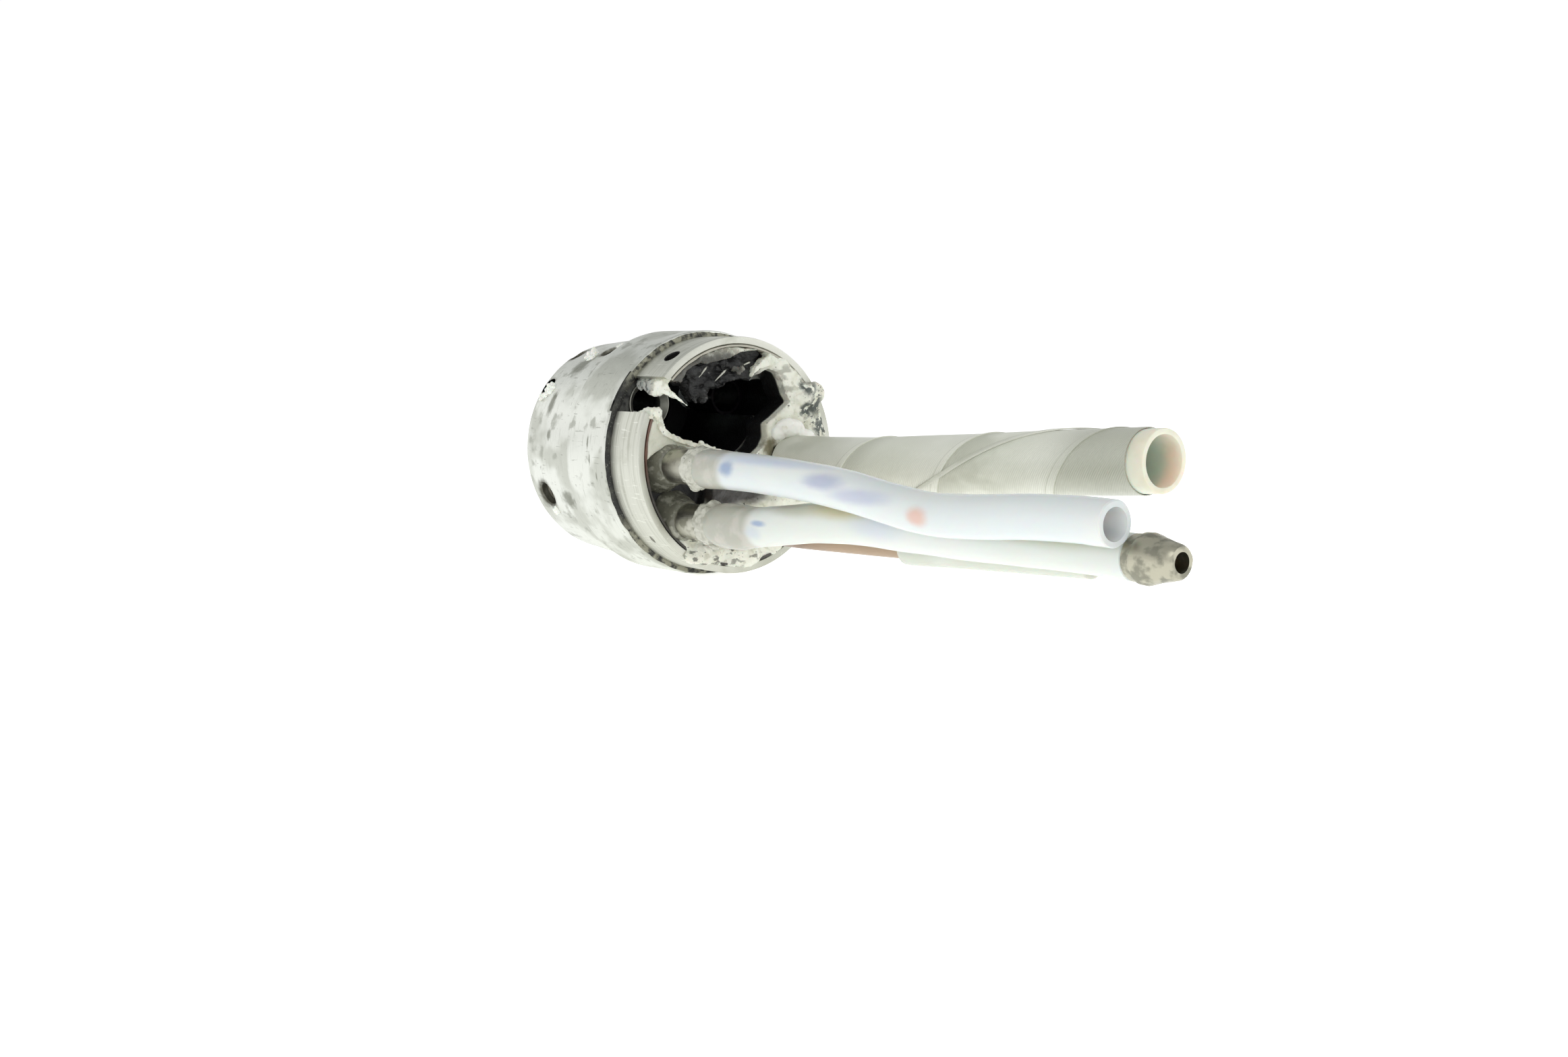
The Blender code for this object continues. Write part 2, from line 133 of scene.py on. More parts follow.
def linear(code: str) -> tuple[float, float, float, float]:
    """Turn an sRGB hex colour into linear light.

    Args:
        code: a colour such as "#C8CAC0".

    Returns:
        Red, green, blue and an alpha of 1, as a shader socket takes them.
    """
    parts = [int(code[i:i + 2], 16) / 255 for i in (1, 3, 5)]
    return (*(c / 12.92 if c <= 0.04045 else ((c + 0.055) / 1.055) ** 2.4 for c in parts), 1.0)


def add_node(tree: bpy.types.NodeTree, kind: str, inputs: dict[Any, Any] | None = None,
             **settings: Any) -> bpy.types.Node:
    """Add a shader node with its settings, its values and its links.

    Args:
        tree: the node tree that gets the node.
        kind: the node's type without its ShaderNode prefix.
        inputs: for each input socket, by name or number, a value or the output socket to link.
        settings: the node's own properties.

    Returns:
        The new node.
    """
    node = tree.nodes.new("ShaderNode" + kind)
    for name, value in settings.items():
        setattr(node, name, value)
    for key, value in (inputs or {}).items():
        if isinstance(value, bpy.types.NodeSocket):
            tree.links.new(value, node.inputs[key])
        else:
            node.inputs[key].default_value = value
    return node


class Shader:
    """The node tree of one finish. Its patterns are laid out in millimetres of the tip's frame."""

    def __init__(self, name: str, origin: Vector, colour: str, **sockets: float) -> None:
        """Start from one even coat.

        Args:
            name: the material's name.
            origin: the tip frame's origin in the scene, in metres.
            colour: the coat's colour as sRGB hex.
            sockets: values for the shader's other sockets, with _ for a space.
        """
        self.material = bpy.data.materials.new(name)
        self.material.use_nodes = True
        self.tree = self.material.node_tree
        self.tree.nodes.clear()
        self.bsdf = add_node(self.tree, "BsdfPrincipled")
        add_node(self.tree, "OutputMaterial", {"Surface": self.bsdf.outputs[0]})
        self.coat: dict[str, Any] = {"Base Color": linear(colour)}
        self.coat.update({key.replace("_", " "): value for key, value in sockets.items()})
        self.normal: bpy.types.NodeSocket | None = None
        spot = add_node(self.tree, "TexCoord")
        self.at = add_node(self.tree, "Mapping", {
            "Vector": spot.outputs["Object"], "Location": -origin / MM,
            "Scale": (1 / MM,) * 3}).outputs[0]

    def grain(self, size: float, low: float, high: float, detail: float = 3.0,
              stretch: Place = (1, 1, 1), shift: float = 0.0, turn: Place = (0, 0, 0)
              ) -> bpy.types.NodeSocket:
        """Make an uneven mask of patches or streaks.

        Args:
            size: how far apart the patches are, in mm.
            low: the noise value where the mask begins.
            high: the noise value where the mask is full; below low, the mask takes the other side.
            detail: octaves of finer noise.
            stretch: how much longer a patch is along x, y and z.
            shift: moves the pattern, so that two masks differ.
            turn: turns the pattern about x, y and z, in degrees.

        Returns:
            The mask, 0 to 1.
        """
        place = add_node(self.tree, "Mapping", {
            "Vector": self.at, "Location": (shift, shift, shift),
            "Rotation": tuple(math.radians(a) for a in turn),
            "Scale": tuple(1 / (size * s) for s in stretch)})
        patches = add_node(self.tree, "TexNoise", {
            "Vector": place.outputs[0], "Scale": 1.0, "Detail": detail})
        return add_node(self.tree, "MapRange", {
            0: patches.outputs[0], 1: low, 2: high}, interpolation_type="SMOOTHSTEP").outputs[0]

    def spot(self, centre: Place, radii: Place, soft: float = 0.3, ragged: float = 0.0
             ) -> bpy.types.NodeSocket:
        """Make a mask that is full at one place and fades out round it.

        Args:
            centre: the place, in mm of the tip's frame.
            radii: half its size along x, y and z, in mm.
            soft: how wide its edge is, as a share of its size.
            ragged: how uneven its edge is, as a share of its size.

        Returns:
            The mask, 0 to 1.
        """
        near = add_node(self.tree, "Mapping", {
            "Vector": self.at, "Location": tuple(-c / r for c, r in zip(centre, radii)),
            "Scale": tuple(1 / r for r in radii)})
        away = add_node(self.tree, "VectorMath", {0: near.outputs[0]}, operation="LENGTH").outputs["Value"]
        if ragged:
            wobble = add_node(self.tree, "TexNoise", {
                "Vector": near.outputs[0], "Scale": 2.0, "Detail": 4.0})
            away = add_node(self.tree, "Math", {
                0: wobble.outputs[0], 1: ragged * 2, 2: away}, operation="MULTIPLY_ADD").outputs[0]
        return add_node(self.tree, "MapRange", {
            0: away, 1: 1 + ragged + soft, 2: 1 + ragged - soft},
            interpolation_type="SMOOTHSTEP").outputs[0]

    def along(self, axis: str, start: float, end: float) -> bpy.types.NodeSocket:
        """Make a mask that rises along one axis of the tip's frame.

        Args:
            axis: "X", "Y" or "Z".
            start: where the mask is 0, in mm.
            end: where it is 1, in mm.

        Returns:
            The mask, 0 to 1.
        """
        parts = add_node(self.tree, "SeparateXYZ", {0: self.at})
        return add_node(self.tree, "MapRange", {
            0: parts.outputs[axis], 1: start, 2: end}, interpolation_type="SMOOTHSTEP").outputs[0]

    def both(self, *masks: bpy.types.NodeSocket) -> bpy.types.NodeSocket:
        """Multiply masks, so that the result is full only where every one is.

        Args:
            masks: the masks.

        Returns:
            The mask, 0 to 1.
        """
        whole = masks[0]
        for mask in masks[1:]:
            whole = add_node(self.tree, "Math", {0: whole, 1: mask}, operation="MULTIPLY").outputs[0]
        return whole

    def layer(self, mask: bpy.types.NodeSocket, colour: str | None = None, strength: float = 1.0,
              **sockets: float) -> None:
        """Lay another coat over what is there, where the mask is full.

        Args:
            mask: where the coat goes.
            colour: its colour as sRGB hex, or None to leave the colour.
            strength: the most that the coat covers.
            sockets: its values for other sockets, with _ for a space.
        """
        if strength < 1:
            mask = add_node(self.tree, "Math", {0: mask, 1: strength}, operation="MULTIPLY").outputs[0]
        if colour:
            self.coat["Base Color"] = add_node(self.tree, "Mix", {
                0: mask, 6: self.coat["Base Color"], 7: linear(colour)}, data_type="RGBA").outputs[2]
        for key, value in sockets.items():
            name = key.replace("_", " ")
            self.coat[name] = add_node(self.tree, "Mix", {
                0: mask, 2: self.coat.get(name, self.bsdf.inputs[name].default_value), 3: value},
                data_type="FLOAT").outputs[0]

    def relief(self, height: bpy.types.NodeSocket, depth: float) -> None:
        """Raise the surface where a mask is full.

        Args:
            height: the mask.
            depth: how high it stands there, in mm.
        """
        inputs = {"Height": height, "Distance": depth * MM}
        if self.normal:
            inputs["Normal"] = self.normal
        self.normal = add_node(self.tree, "Bump", inputs).outputs[0]

    def done(self) -> bpy.types.Material:
        """Set or link every socket of the shader, and give back the material.

        Returns:
            The material.
        """
        for name, value in self.coat.items():
            if isinstance(value, bpy.types.NodeSocket):
                self.tree.links.new(value, self.bsdf.inputs[name])
            else:
                self.bsdf.inputs[name].default_value = value
        if self.normal:
            self.tree.links.new(self.normal, self.bsdf.inputs["Normal"])
        return self.material


@dataclass(frozen=True)
class Finish:
    """A surface finish, made into a material once and shared by its pieces."""

    colour: str = "#C8CAC0"

    def make(self, origin: Vector) -> bpy.types.Material:
        """Build the material of this finish, with its patterns laid out from origin."""
        raise NotImplementedError


@dataclass(frozen=True)
class MachinedSteel(Finish):
    """Stainless steel, turned and then knocked about: a satin sheen with scratches, stains and dull spots."""

    colour: str = "#D9DBD4"

    def make(self, origin: Vector) -> bpy.types.Material:
        """Build the material: turning marks, tool scratches, worn patches and glue stains.

        Args:
            origin: the tip frame's origin in the scene, in metres.

        Returns:
            The material.
        """
        coat = Shader("machined_stainless_steel", origin, self.colour, Metallic=1.0, Roughness=0.4)
        coat.layer(coat.grain(2.6, 0.46, 0.62), "#BFC1B8", Roughness=0.46)
        coat.layer(coat.grain(0.9, 0.57, 0.7, 5, shift=7), "#A0A298", 0.7, Roughness=0.52)
        coat.layer(coat.grain(0.35, 0.66, 0.76, 4, shift=3), "#7D7E74", 0.5)
        # Drag marks round the nose, where it was wrenched out of its hood
        coat.layer(coat.grain(0.16, 0.62, 0.72, 2, (0.35, 4, 9), 11), "#999B91", 0.5)
        coat.layer(coat.grain(0.12, 0.66, 0.74, 2, (8, 1.2, 1.2), 5, (0, 12, 25)), "#85877D", 0.5)
        for centre, radii, ragged in STAINS:
            coat.layer(coat.spot(centre, radii, 0.5, ragged), "#77796C", 0.75, Roughness=0.6)
        for centre, size in HOLE_GRIME:
            coat.layer(coat.spot(centre, (size,) * 3, 0.3, 0.25), "#4E4B3D", 0.9, Roughness=0.6)
        # Turning marks, really 0.05 mm apart, drawn at 0.09 mm so that they show
        coat.relief(coat.grain(0.09, 0.3, 0.7, 2, (1, 60, 60)), 0.001)
        coat.relief(coat.grain(0.5, 0.35, 0.7, 4), 0.006)
        coat.relief(coat.grain(0.12, 0.66, 0.74, 2, (8, 1.2, 1.2), 5, (0, 12, 25)), -0.006)
        return coat.done()


@dataclass(frozen=True)
class TurnedSteel(Finish):
    """Stainless steel as it left the lathe: fine rings under a satin sheen, crossed by light scratches."""

    colour: str = "#CFD0C6"

    def make(self, origin: Vector) -> bpy.types.Material:
        """Build the material: lathe rings with faint stains and scratches along the axis.

        Args:
            origin: the tip frame's origin in the scene, in metres.

        Returns:
            The material.
        """
        coat = Shader("turned_stainless_steel", origin, self.colour, Metallic=1.0, Roughness=0.44)
        coat.layer(coat.grain(0.1, 0.42, 0.7, 3, (1, 40, 40)), "#B3B4A8", 0.85)
        coat.layer(coat.grain(1.4, 0.55, 0.75, 4, shift=2), "#B0B1A3", 0.6, Roughness=0.5)
        coat.layer(coat.grain(0.1, 0.62, 0.74, 2, (9, 1, 1), 6), "#E9EAE2", 0.6)
        coat.layer(coat.grain(0.22, 0.7, 0.78, 3, shift=9), "#8A8B7F", 0.6)
        # Tool rings, really 0.04 mm apart, drawn at 0.07 mm so that they show
        coat.relief(coat.grain(0.07, 0.3, 0.7, 2, (1, 80, 80)), 0.0012)
        return coat.done()


@dataclass(frozen=True)
class DrawnPipe(Finish):
    """Drawn stainless pipe, dulled by handling and old glue."""

    colour: str = "#B9B8AC"

    def make(self, origin: Vector) -> bpy.types.Material:
        """Build the material: draw lines along the pipe and a thin film of glue.

        Args:
            origin: the tip frame's origin in the scene, in metres.

        Returns:
            The material.
        """
        coat = Shader("drawn_stainless_pipe", origin, self.colour, Metallic=1.0, Roughness=0.32)
        coat.layer(coat.grain(0.5, 0.45, 0.65, 4), "#8F8E80", Roughness=0.5)
        coat.relief(coat.grain(0.06, 0.3, 0.7, 2, (20, 1, 1)), 0.002)
        return coat.done()


@dataclass(frozen=True)
class GrimySteel(Finish):
    """Set-screw steel under old thread adhesive: brownish grey and nearly matt."""

    colour: str = "#8B877A"

    def make(self, origin: Vector) -> bpy.types.Material:
        """Build the material: adhesive film with dirt in it.

        Args:
            origin: the tip frame's origin in the scene, in metres.

        Returns:
            The material.
        """
        coat = Shader("grimy_set_screw_steel", origin, self.colour, Metallic=0.7, Roughness=0.5)
        coat.layer(coat.grain(0.3, 0.45, 0.62, 4), "#5D594B", 0.9, Roughness=0.6)
        coat.relief(coat.grain(0.15, 0.3, 0.7, 4), 0.01)
        return coat.done()


@dataclass(frozen=True)
class BlackenedSleeve(Finish):
    """Thin steel sleeve, chemically blackened inside and out: brownish black with a weak metal sheen."""

    colour: str = "#2B282A"

    def make(self, origin: Vector) -> bpy.types.Material:
        """Build the material: blackening worn to grey at the mouth.

        Args:
            origin: the tip frame's origin in the scene, in metres.

        Returns:
            The material.
        """
        coat = Shader("blackened_steel_sleeve", origin, self.colour, Metallic=0.8, Roughness=0.42)
        coat.layer(coat.grain(0.4, 0.5, 0.66, 4), "#1A191A", Roughness=0.55)
        coat.layer(coat.along("X", -3.5, -2.72), "#A3A49A", 0.75, Roughness=0.32)
        coat.relief(coat.grain(0.06, 0.3, 0.7, 2, (20, 1, 1)), 0.002)
        return coat.done()


@dataclass(frozen=True)
class BlackBore(Finish):
    """Matt black paint that kills stray light in a bore: almost no colour, with a weak sheen."""

    colour: str = "#0B0B0C"

    def make(self, origin: Vector) -> bpy.types.Material:
        """Build the material: black paint with rubbed places.

        Args:
            origin: the tip frame's origin in the scene, in metres.

        Returns:
            The material.
        """
        coat = Shader("black_bore_paint", origin, self.colour, Roughness=0.42, Specular_IOR_Level=0.35)
        coat.layer(coat.grain(0.8, 0.55, 0.75, 4), "#17171A", Roughness=0.3)
        # Grey speckles lighten the black paint in the open cable slot
        slot = coat.spot((-2.75, -5.2, 3.0), (0.5, 1.0, 1.5), 0.3, 0.2)
        coat.layer(coat.both(slot, coat.grain(0.3, 0.3, 0.6, 4)), "#5B5C57", 0.8, Roughness=0.55)
        coat.relief(coat.grain(0.12, 0.3, 0.7, 3), 0.006)
        return coat.done()


@dataclass(frozen=True)
class BlackAnodised(Finish):
    """Black anodised aluminium: an even dark grey with a soft metallic sheen."""

    colour: str = "#1B1B1D"

    def make(self, origin: Vector) -> bpy.types.Material:
        """Build the material: fine machining under the dyed layer.

        Args:
            origin: the tip frame's origin in the scene, in metres.

        Returns:
            The material.
        """
        coat = Shader("black_anodised_aluminium", origin, self.colour, Metallic=0.6, Roughness=0.4)
        coat.layer(coat.grain(0.3, 0.5, 0.7), "#262628", Roughness=0.5)
        coat.relief(coat.grain(0.06, 0.3, 0.7, 2, (1, 40, 40)), 0.001)
        return coat.done()


@dataclass(frozen=True)
class PottingResin(Finish):
    """Filled epoxy, cast and then chipped: off-white, waxy, with dark specks, grime round the pipes and
    painted shade in its hollows.
    """

    colour: str = "#E9EADD"
    loose: bool = False

    def make(self, origin: Vector) -> bpy.types.Material:
        """Build the material: mottled cream, black specks, dirt round the pipes and the bore, and painted
        shade in the hollows.

        Args:
            origin: the tip frame's origin in the scene, in metres.

        Returns:
            The material.
        """
        coat = Shader("cream_epoxy_flakes" if self.loose else "cream_filled_epoxy", origin, self.colour,
                      Roughness=0.42, IOR=1.52, Subsurface_Weight=0.12, Subsurface_Scale=0.0004)
        coat.layer(coat.grain(1.1, 0.48, 0.68, 5), "#D8D8C6", Roughness=0.5)
        coat.layer(coat.grain(0.45, 0.56, 0.68, 4, shift=4), "#BFBFAC", 0.7)
        coat.layer(coat.grain(0.17, 0.67, 0.74, 2, shift=1), "#3B3C34", 0.9)
        if self.loose:
            grey = coat.along("X", -0.9, -1.5)
            coat.layer(grey, "#9B9E99", 0.9, Roughness=0.35)
            coat.layer(coat.both(grey, coat.grain(0.22, 0.5, 0.6, 3, shift=4)), "#4C504E", 0.9)
        else:
            self.stain(coat)
        coat.relief(coat.grain(0.25, 0.35, 0.7, 5), 0.02)
        return coat.done()

    @staticmethod
    def stain(coat: Shader) -> None:
        """Lay the grime of the cast face, a dark patch round the cavity's top, and painted shade in the
        resin's depths and in the hollow behind the pipes.

        Args:
            coat: the shader that gets the layers.
        """
        top = coat.spot((0, -2.2, 4.9), (2.0, 3.4, 1.2), 0.5, 0.4)
        coat.layer(coat.both(top, coat.grain(0.35, 0.36, 0.56, 4)), "#8F8E80", 0.85, Roughness=0.6)
        inner = coat.spot((0, -1.6, 3.9), (2.0, 3.2, 1.25), 0.35, 0.5)
        coat.layer(inner, "#3A3A36", 0.9, Roughness=0.5)
        # Waxy beige between the film and the upper pipe
        coat.layer(coat.spot((0, -4.7, 0.6), (1.0, 0.8, 1.3), 0.5, 0.3), "#CBCBBB", 0.8, Roughness=0.25)
        # The hollow round the pipes: dark glue, with brown flux below it
        coat.layer(coat.spot((-0.9, -4.5, -1.3), (1.4, 1.6, 1.3), 0.35, 0.4), "#4A4B45", 0.95, Roughness=0.3)
        coat.layer(coat.spot((-0.5, -4.5, -2.6), (1.0, 0.8, 0.85), 0.5, 0.6), "#8F8458", 0.9)
        coat.layer(coat.both(coat.spot((-0.5, -4.5, -2.3), (1.3, 1.3, 1.9), 0.4, 0.3),
                             coat.grain(0.14, 0.53, 0.62, 3)), "#20211C", 0.95)
        # Painted shade: a reddish black patch on the rear face, for the shadow in the hollow behind the pipes
        coat.layer(coat.spot((0.0, -0.6, -1.7), (1.2, 2.6, 0.95), 0.3, 0.3), "#221C1C", 0.97, Roughness=0.3)
        # Green-black specks along the right-hand rim, and brown in the gap at the channel's root
        for centre, radii in (((0.2, 4.25, 3.55), (0.7, 0.45, 0.5)), ((0.2, 4.75, 2.6), (0.7, 0.4, 0.6)),
                              ((0.2, 5.2, 1.45), (0.7, 0.55, 0.55)), ((0.2, 4.2, 2.3), (0.6, 0.3, 0.4))):
            coat.layer(coat.both(coat.spot(centre, radii, 0.4, 0.4), coat.grain(0.3, 0.4, 0.5, 3, shift=6)),
                       "#3E4742", 0.95)
        coat.layer(coat.both(coat.spot((0.2, 5.0, 2.0), (1.5, 0.9, 3.2), 0.4, 0.2),
                             coat.grain(0.16, 0.6, 0.68, 2, shift=2)), "#4A514A", 0.95)
        coat.layer(coat.both(coat.spot((0.1, 3.3, 3.9), (1.0, 1.6, 0.8), 0.5, 0.4),
                             coat.grain(0.4, 0.45, 0.6, 4, (1, 2, 1))), "#A3A396", 0.8)
        coat.layer(coat.spot((0.0, 2.05, 0.35), (0.8, 0.42, 0.5), 0.5, 0.6), "#6E6748", 0.9)
        # Cracks and pits along the bottom
        coat.layer(coat.both(coat.spot((0.2, -1.4, -4.7), (1.4, 3.0, 1.0), 0.4, 0.3),
                             coat.grain(0.3, 0.56, 0.64, 4, (1, 2, 1))), "#5B5C53", 0.85)
        coat.layer(coat.spot((0.2, -0.1, -4.55), (1.0, 0.5, 0.2), 0.3, 0.5), "#34352F", 0.95)
        # Painted shade: the resin deeper than about half a millimetre, in the cavity, the recess and the pipe
        # holes, is near black
        coat.layer(coat.along("X", -0.42, -0.6), "#0E0E0F", 1.0, Roughness=0.5)


@dataclass(frozen=True)
class GlossyResin(Finish):
    """The same epoxy where it set smooth: white and wet-looking."""

    colour: str = "#F1F1E9"

    def make(self, origin: Vector) -> bpy.types.Material:
        """Build the material: a smooth skin with a few sunken specks.

        Args:
            origin: the tip frame's origin in the scene, in metres.

        Returns:
            The material.
        """
        coat = Shader("smooth_set_epoxy", origin, self.colour, Roughness=0.16, IOR=1.52,
                      Subsurface_Weight=0.15, Subsurface_Scale=0.0004)
        coat.layer(coat.grain(0.6, 0.6, 0.72), "#DCDCCB")
        coat.relief(coat.grain(0.5, 0.3, 0.7), 0.01)
        return coat.done()


@dataclass(frozen=True)
class BlackSealant(Finish):
    """Black adhesive torn apart: rubbery, with shiny folds and grey diagonal streaks, partly stretched fibres
    and partly painted glints.
    """

    colour: str = "#0A0A0B"

    def make(self, origin: Vector) -> bpy.types.Material:
        """Build the material: matt and shiny places, grey streaks of fibres and painted glints, and fine
        wrinkles.

        Args:
            origin: the tip frame's origin in the scene, in metres.

        Returns:
            The material.
        """
        coat = Shader("torn_black_adhesive", origin, self.colour, Roughness=0.52)
        coat.layer(coat.grain(0.5, 0.5, 0.62, 4), "#161717", Roughness=0.3)
        # Grey diagonal streaks: stretched fibres, with painted glints along them
        coat.layer(coat.grain(0.16, 0.66, 0.74, 4, (1, 3, 1), 5, (35, 0, 0)), "#8B8A85", 0.6)
        coat.relief(coat.grain(0.14, 0.3, 0.7, 5, (1, 3, 1), 0, (35, 0, 0)), 0.03)
        return coat.done()


@dataclass(frozen=True)
class SealantBead(Finish):
    """A thin bead of old black sealant: black at the slot, chalky and khaki where it wore."""

    colour: str = "#191A17"

    def make(self, origin: Vector) -> bpy.types.Material:
        """Build the material: chalky specks over black, and khaki along the top and the bottom.

        Args:
            origin: the tip frame's origin in the scene, in metres.

        Returns:
            The material.
        """
        coat = Shader("old_black_sealant", origin, self.colour, Roughness=0.5)
        coat.layer(coat.grain(0.7, 0.52, 0.68, 5), "#3E3F36", 0.8)
        for start, end, strength in ((3.0, 4.6, 0.85), (-2.6, -4.4, 0.7)):
            worn = coat.both(coat.along("Z", start, end), coat.grain(0.35, 0.36, 0.58, 5, shift=3))
            coat.layer(worn, "#A7A692", strength)
        coat.layer(coat.grain(0.12, 0.62, 0.72, 4, shift=5), "#8B8C80", 0.6)
        coat.relief(coat.grain(0.12, 0.3, 0.7, 5), 0.02)
        return coat.done()


@dataclass(frozen=True)
class PolyimideFilm(Finish):
    """Polyimide film and pipe: a clear reddish amber with a smooth skin."""

    colour: str = "#6E4E40"

    def make(self, origin: Vector) -> bpy.types.Material:
        """Build the material: amber with thin and thick places, dirtied at the film's lower edge.

        Args:
            origin: the tip frame's origin in the scene, in metres.

        Returns:
            The material.
        """
        coat = Shader("amber_polyimide", origin, self.colour, Roughness=0.34, IOR=1.7,
                      Transmission_Weight=0.1)
        coat.layer(coat.grain(1.2, 0.45, 0.65), "#533A30", Roughness=0.4)
        coat.layer(coat.along("X", 4.0, 11.0), "#AF9474", 0.85)
        film = coat.both(coat.along("X", 0.6, 0.3), coat.along("Z", -0.6, -1.6))
        coat.layer(film, "#3A3934", 0.95, Roughness=0.6)
        # Above the slot a skim of resin hides the film
        skim = coat.both(coat.along("X", 0.6, 0.3), coat.along("Z", 2.6, 3.4))
        coat.layer(skim, "#B9B7A8", 0.95, Roughness=0.6)
        coat.relief(coat.grain(0.3, 0.3, 0.7), 0.004)
        return coat.done()


@dataclass(frozen=True)
class ClearTubing(Finish):
    """Extruded fluoropolymer tube: milky, bluish and slippery, with inked dots and, on the water tube, a
    patch of painted shade.
    """

    colour: str = "#EEF2F3"
    name: str = "clear_fluoropolymer_tube"
    ink_and_shade: tuple[tuple[Place, Place, str, float], ...] = ()
    cuff_end: float | None = None

    def make(self, origin: Vector) -> bpy.types.Material:
        """Build the material: a milky wall, the stretched cuff, and soft inked marks, with painted shade
        among them on the water tube.

        Args:
            origin: the tip frame's origin in the scene, in metres.

        Returns:
            The material.
        """
        coat = Shader(self.name, origin, self.colour, Roughness=0.24, IOR=1.35,
                      Transmission_Weight=0.25, Subsurface_Weight=0.3, Subsurface_Scale=0.0006)
        coat.layer(coat.grain(4.0, 0.45, 0.65, 2, (2, 1, 1)), "#F5F7F3", 0.8)
        if self.cuff_end is not None:
            # Over the pipe the wall is stretched, and the metal shows through it as beige
            edge = self.cuff_end
            coat.layer(coat.along("X", edge + 0.45, edge - 0.35), "#C5C6BA", Roughness=0.22)
            coat.layer(coat.both(coat.along("X", edge + 0.2, edge - 0.2), coat.grain(0.9, 0.45, 0.65, 4)),
                       "#D8D6CC", 0.8)
        # Soft marks: inked dots, and on the water tube painted shade where the air tube lies over it
        for centre, radii, colour, strength in self.ink_and_shade:
            coat.layer(coat.spot(centre, radii, 0.6, 0.15), colour, strength)
        coat.relief(coat.grain(1.2, 0.3, 0.7, 2, (3, 1, 1)), 0.01)
        return coat.done()


@dataclass(frozen=True)
class ClearGlue(Finish):
    """Set clear adhesive: glassy, slightly yellow, lumpy."""

    colour: str = "#D3D3C6"
    name: str = "clear_set_adhesive"

    def make(self, origin: Vector) -> bpy.types.Material:
        """Build the material: a glassy skin with cloudy places and trapped dirt.

        Args:
            origin: the tip frame's origin in the scene, in metres.

        Returns:
            The material.
        """
        coat = Shader(self.name, origin, self.colour, Roughness=0.1, IOR=1.5, Transmission_Weight=0.2)
        coat.layer(coat.grain(0.4, 0.5, 0.65, 4), "#B5B5A6", 0.7, Roughness=0.2)
        coat.layer(coat.grain(0.12, 0.68, 0.76, 2), "#55564E", 0.8)
        coat.relief(coat.grain(0.3, 0.3, 0.7), 0.02)
        return coat.done()


@dataclass(frozen=True)
class ChannelLiner(Finish):
    """Expanded fluoropolymer liner: cream, soft and waxy."""

    colour: str = "#E3E4D4"

    def make(self, origin: Vector) -> bpy.types.Material:
        """Build the material: a waxy wall, faintly mottled.

        Args:
            origin: the tip frame's origin in the scene, in metres.

        Returns:
            The material.
        """
        coat = Shader("cream_channel_liner", origin, self.colour, Roughness=0.45, IOR=1.35,
                      Subsurface_Weight=0.5, Subsurface_Scale=0.0012)
        coat.layer(coat.grain(1.5, 0.45, 0.65), "#DADBC8")
        coat.relief(coat.grain(0.4, 0.3, 0.7, 4), 0.008)
        return coat.done()


@dataclass(frozen=True)
class WrapTape(Finish):
    """Glazed tape wound over a fine coil: greyish beige, with the coil's ribs showing through.

    The piece carries the attribute "lap": 0 at the tape's covered edge and 1 at its free edge.
    """

    colour: str = "#E2E4D6"
    name: str = "glazed_wrap_tape"
    width: float = 7.9

    def make(self, origin: Vector) -> bpy.types.Material:
        """Build the material: a painted highlight along each free edge and a painted shadow behind each lap,
        ribs along the tape, soft stains and a darker rear end.

        Args:
            origin: the tip frame's origin in the scene, in metres.

        Returns:
            The material.
        """
        coat = Shader(self.name, origin, self.colour, Roughness=0.36, IOR=1.5)
        lap = add_node(coat.tree, "Attribute", attribute_name="lap").outputs["Fac"]
        coat.layer(coat.grain(3.2, 0.45, 0.62, 3, (1.4, 1, 1)), "#CACCBC", 0.8)
        coat.layer(coat.grain(1.6, 0.5, 0.66, 3, (2, 1, 1), 8), "#EBEDE0", 0.7)
        # Painted highlight: the tape is lighter towards each lap's raised free edge
        free = add_node(coat.tree, "MapRange", {0: lap, 1: 0.45, 2: 0.9}, interpolation_type="SMOOTHSTEP")
        coat.layer(free.outputs[0], "#EFF0E5", 0.75)
        # Painted shadow: the tape is darker near its covered edge, just behind the step of the lap above
        covered = add_node(coat.tree, "MapRange", {0: lap, 1: 0.3, 2: 0.07}, interpolation_type="SMOOTHSTEP")
        coat.layer(covered.outputs[0], "#BBBDAD", 0.6)
        coat.layer(coat.along("X", 18.5, 22.5), "#B4B6A8", 0.85)
        # Ribs, really 0.08 mm apart, drawn at 0.13 mm so that they show
        across = add_node(coat.tree, "CombineXYZ", {0: lap})
        ribs = add_node(coat.tree, "TexWave", {
            "Vector": across.outputs[0], "Scale": TURN / 20 * self.width / 0.13, "Distortion": 0.0},
            wave_type="BANDS", bands_direction="X", wave_profile="SIN").outputs["Fac"]
        coat.layer(ribs, "#A9AB9B", 0.22)
        coat.relief(ribs, 0.012)
        coat.relief(coat.grain(0.5, 0.3, 0.7, 4), 0.01)
        return coat.done()


@dataclass(frozen=True)
class OpticalGlass(Finish):
    """Polished optical glass with a faint green coating."""

    colour: str = "#E8F2EE"

    def make(self, origin: Vector) -> bpy.types.Material:
        """Build the material: clear, with barely visible dust.

        Args:
            origin: the tip frame's origin in the scene, in metres.

        Returns:
            The material.
        """
        coat = Shader("polished_optical_glass", origin, self.colour, Roughness=0.02, IOR=1.52,
                      Transmission_Weight=0.85, Coat_Weight=0.3)
        coat.layer(coat.grain(0.1, 0.62, 0.7), "#C9D2CE", 0.5, Roughness=0.12)
        return coat.done()


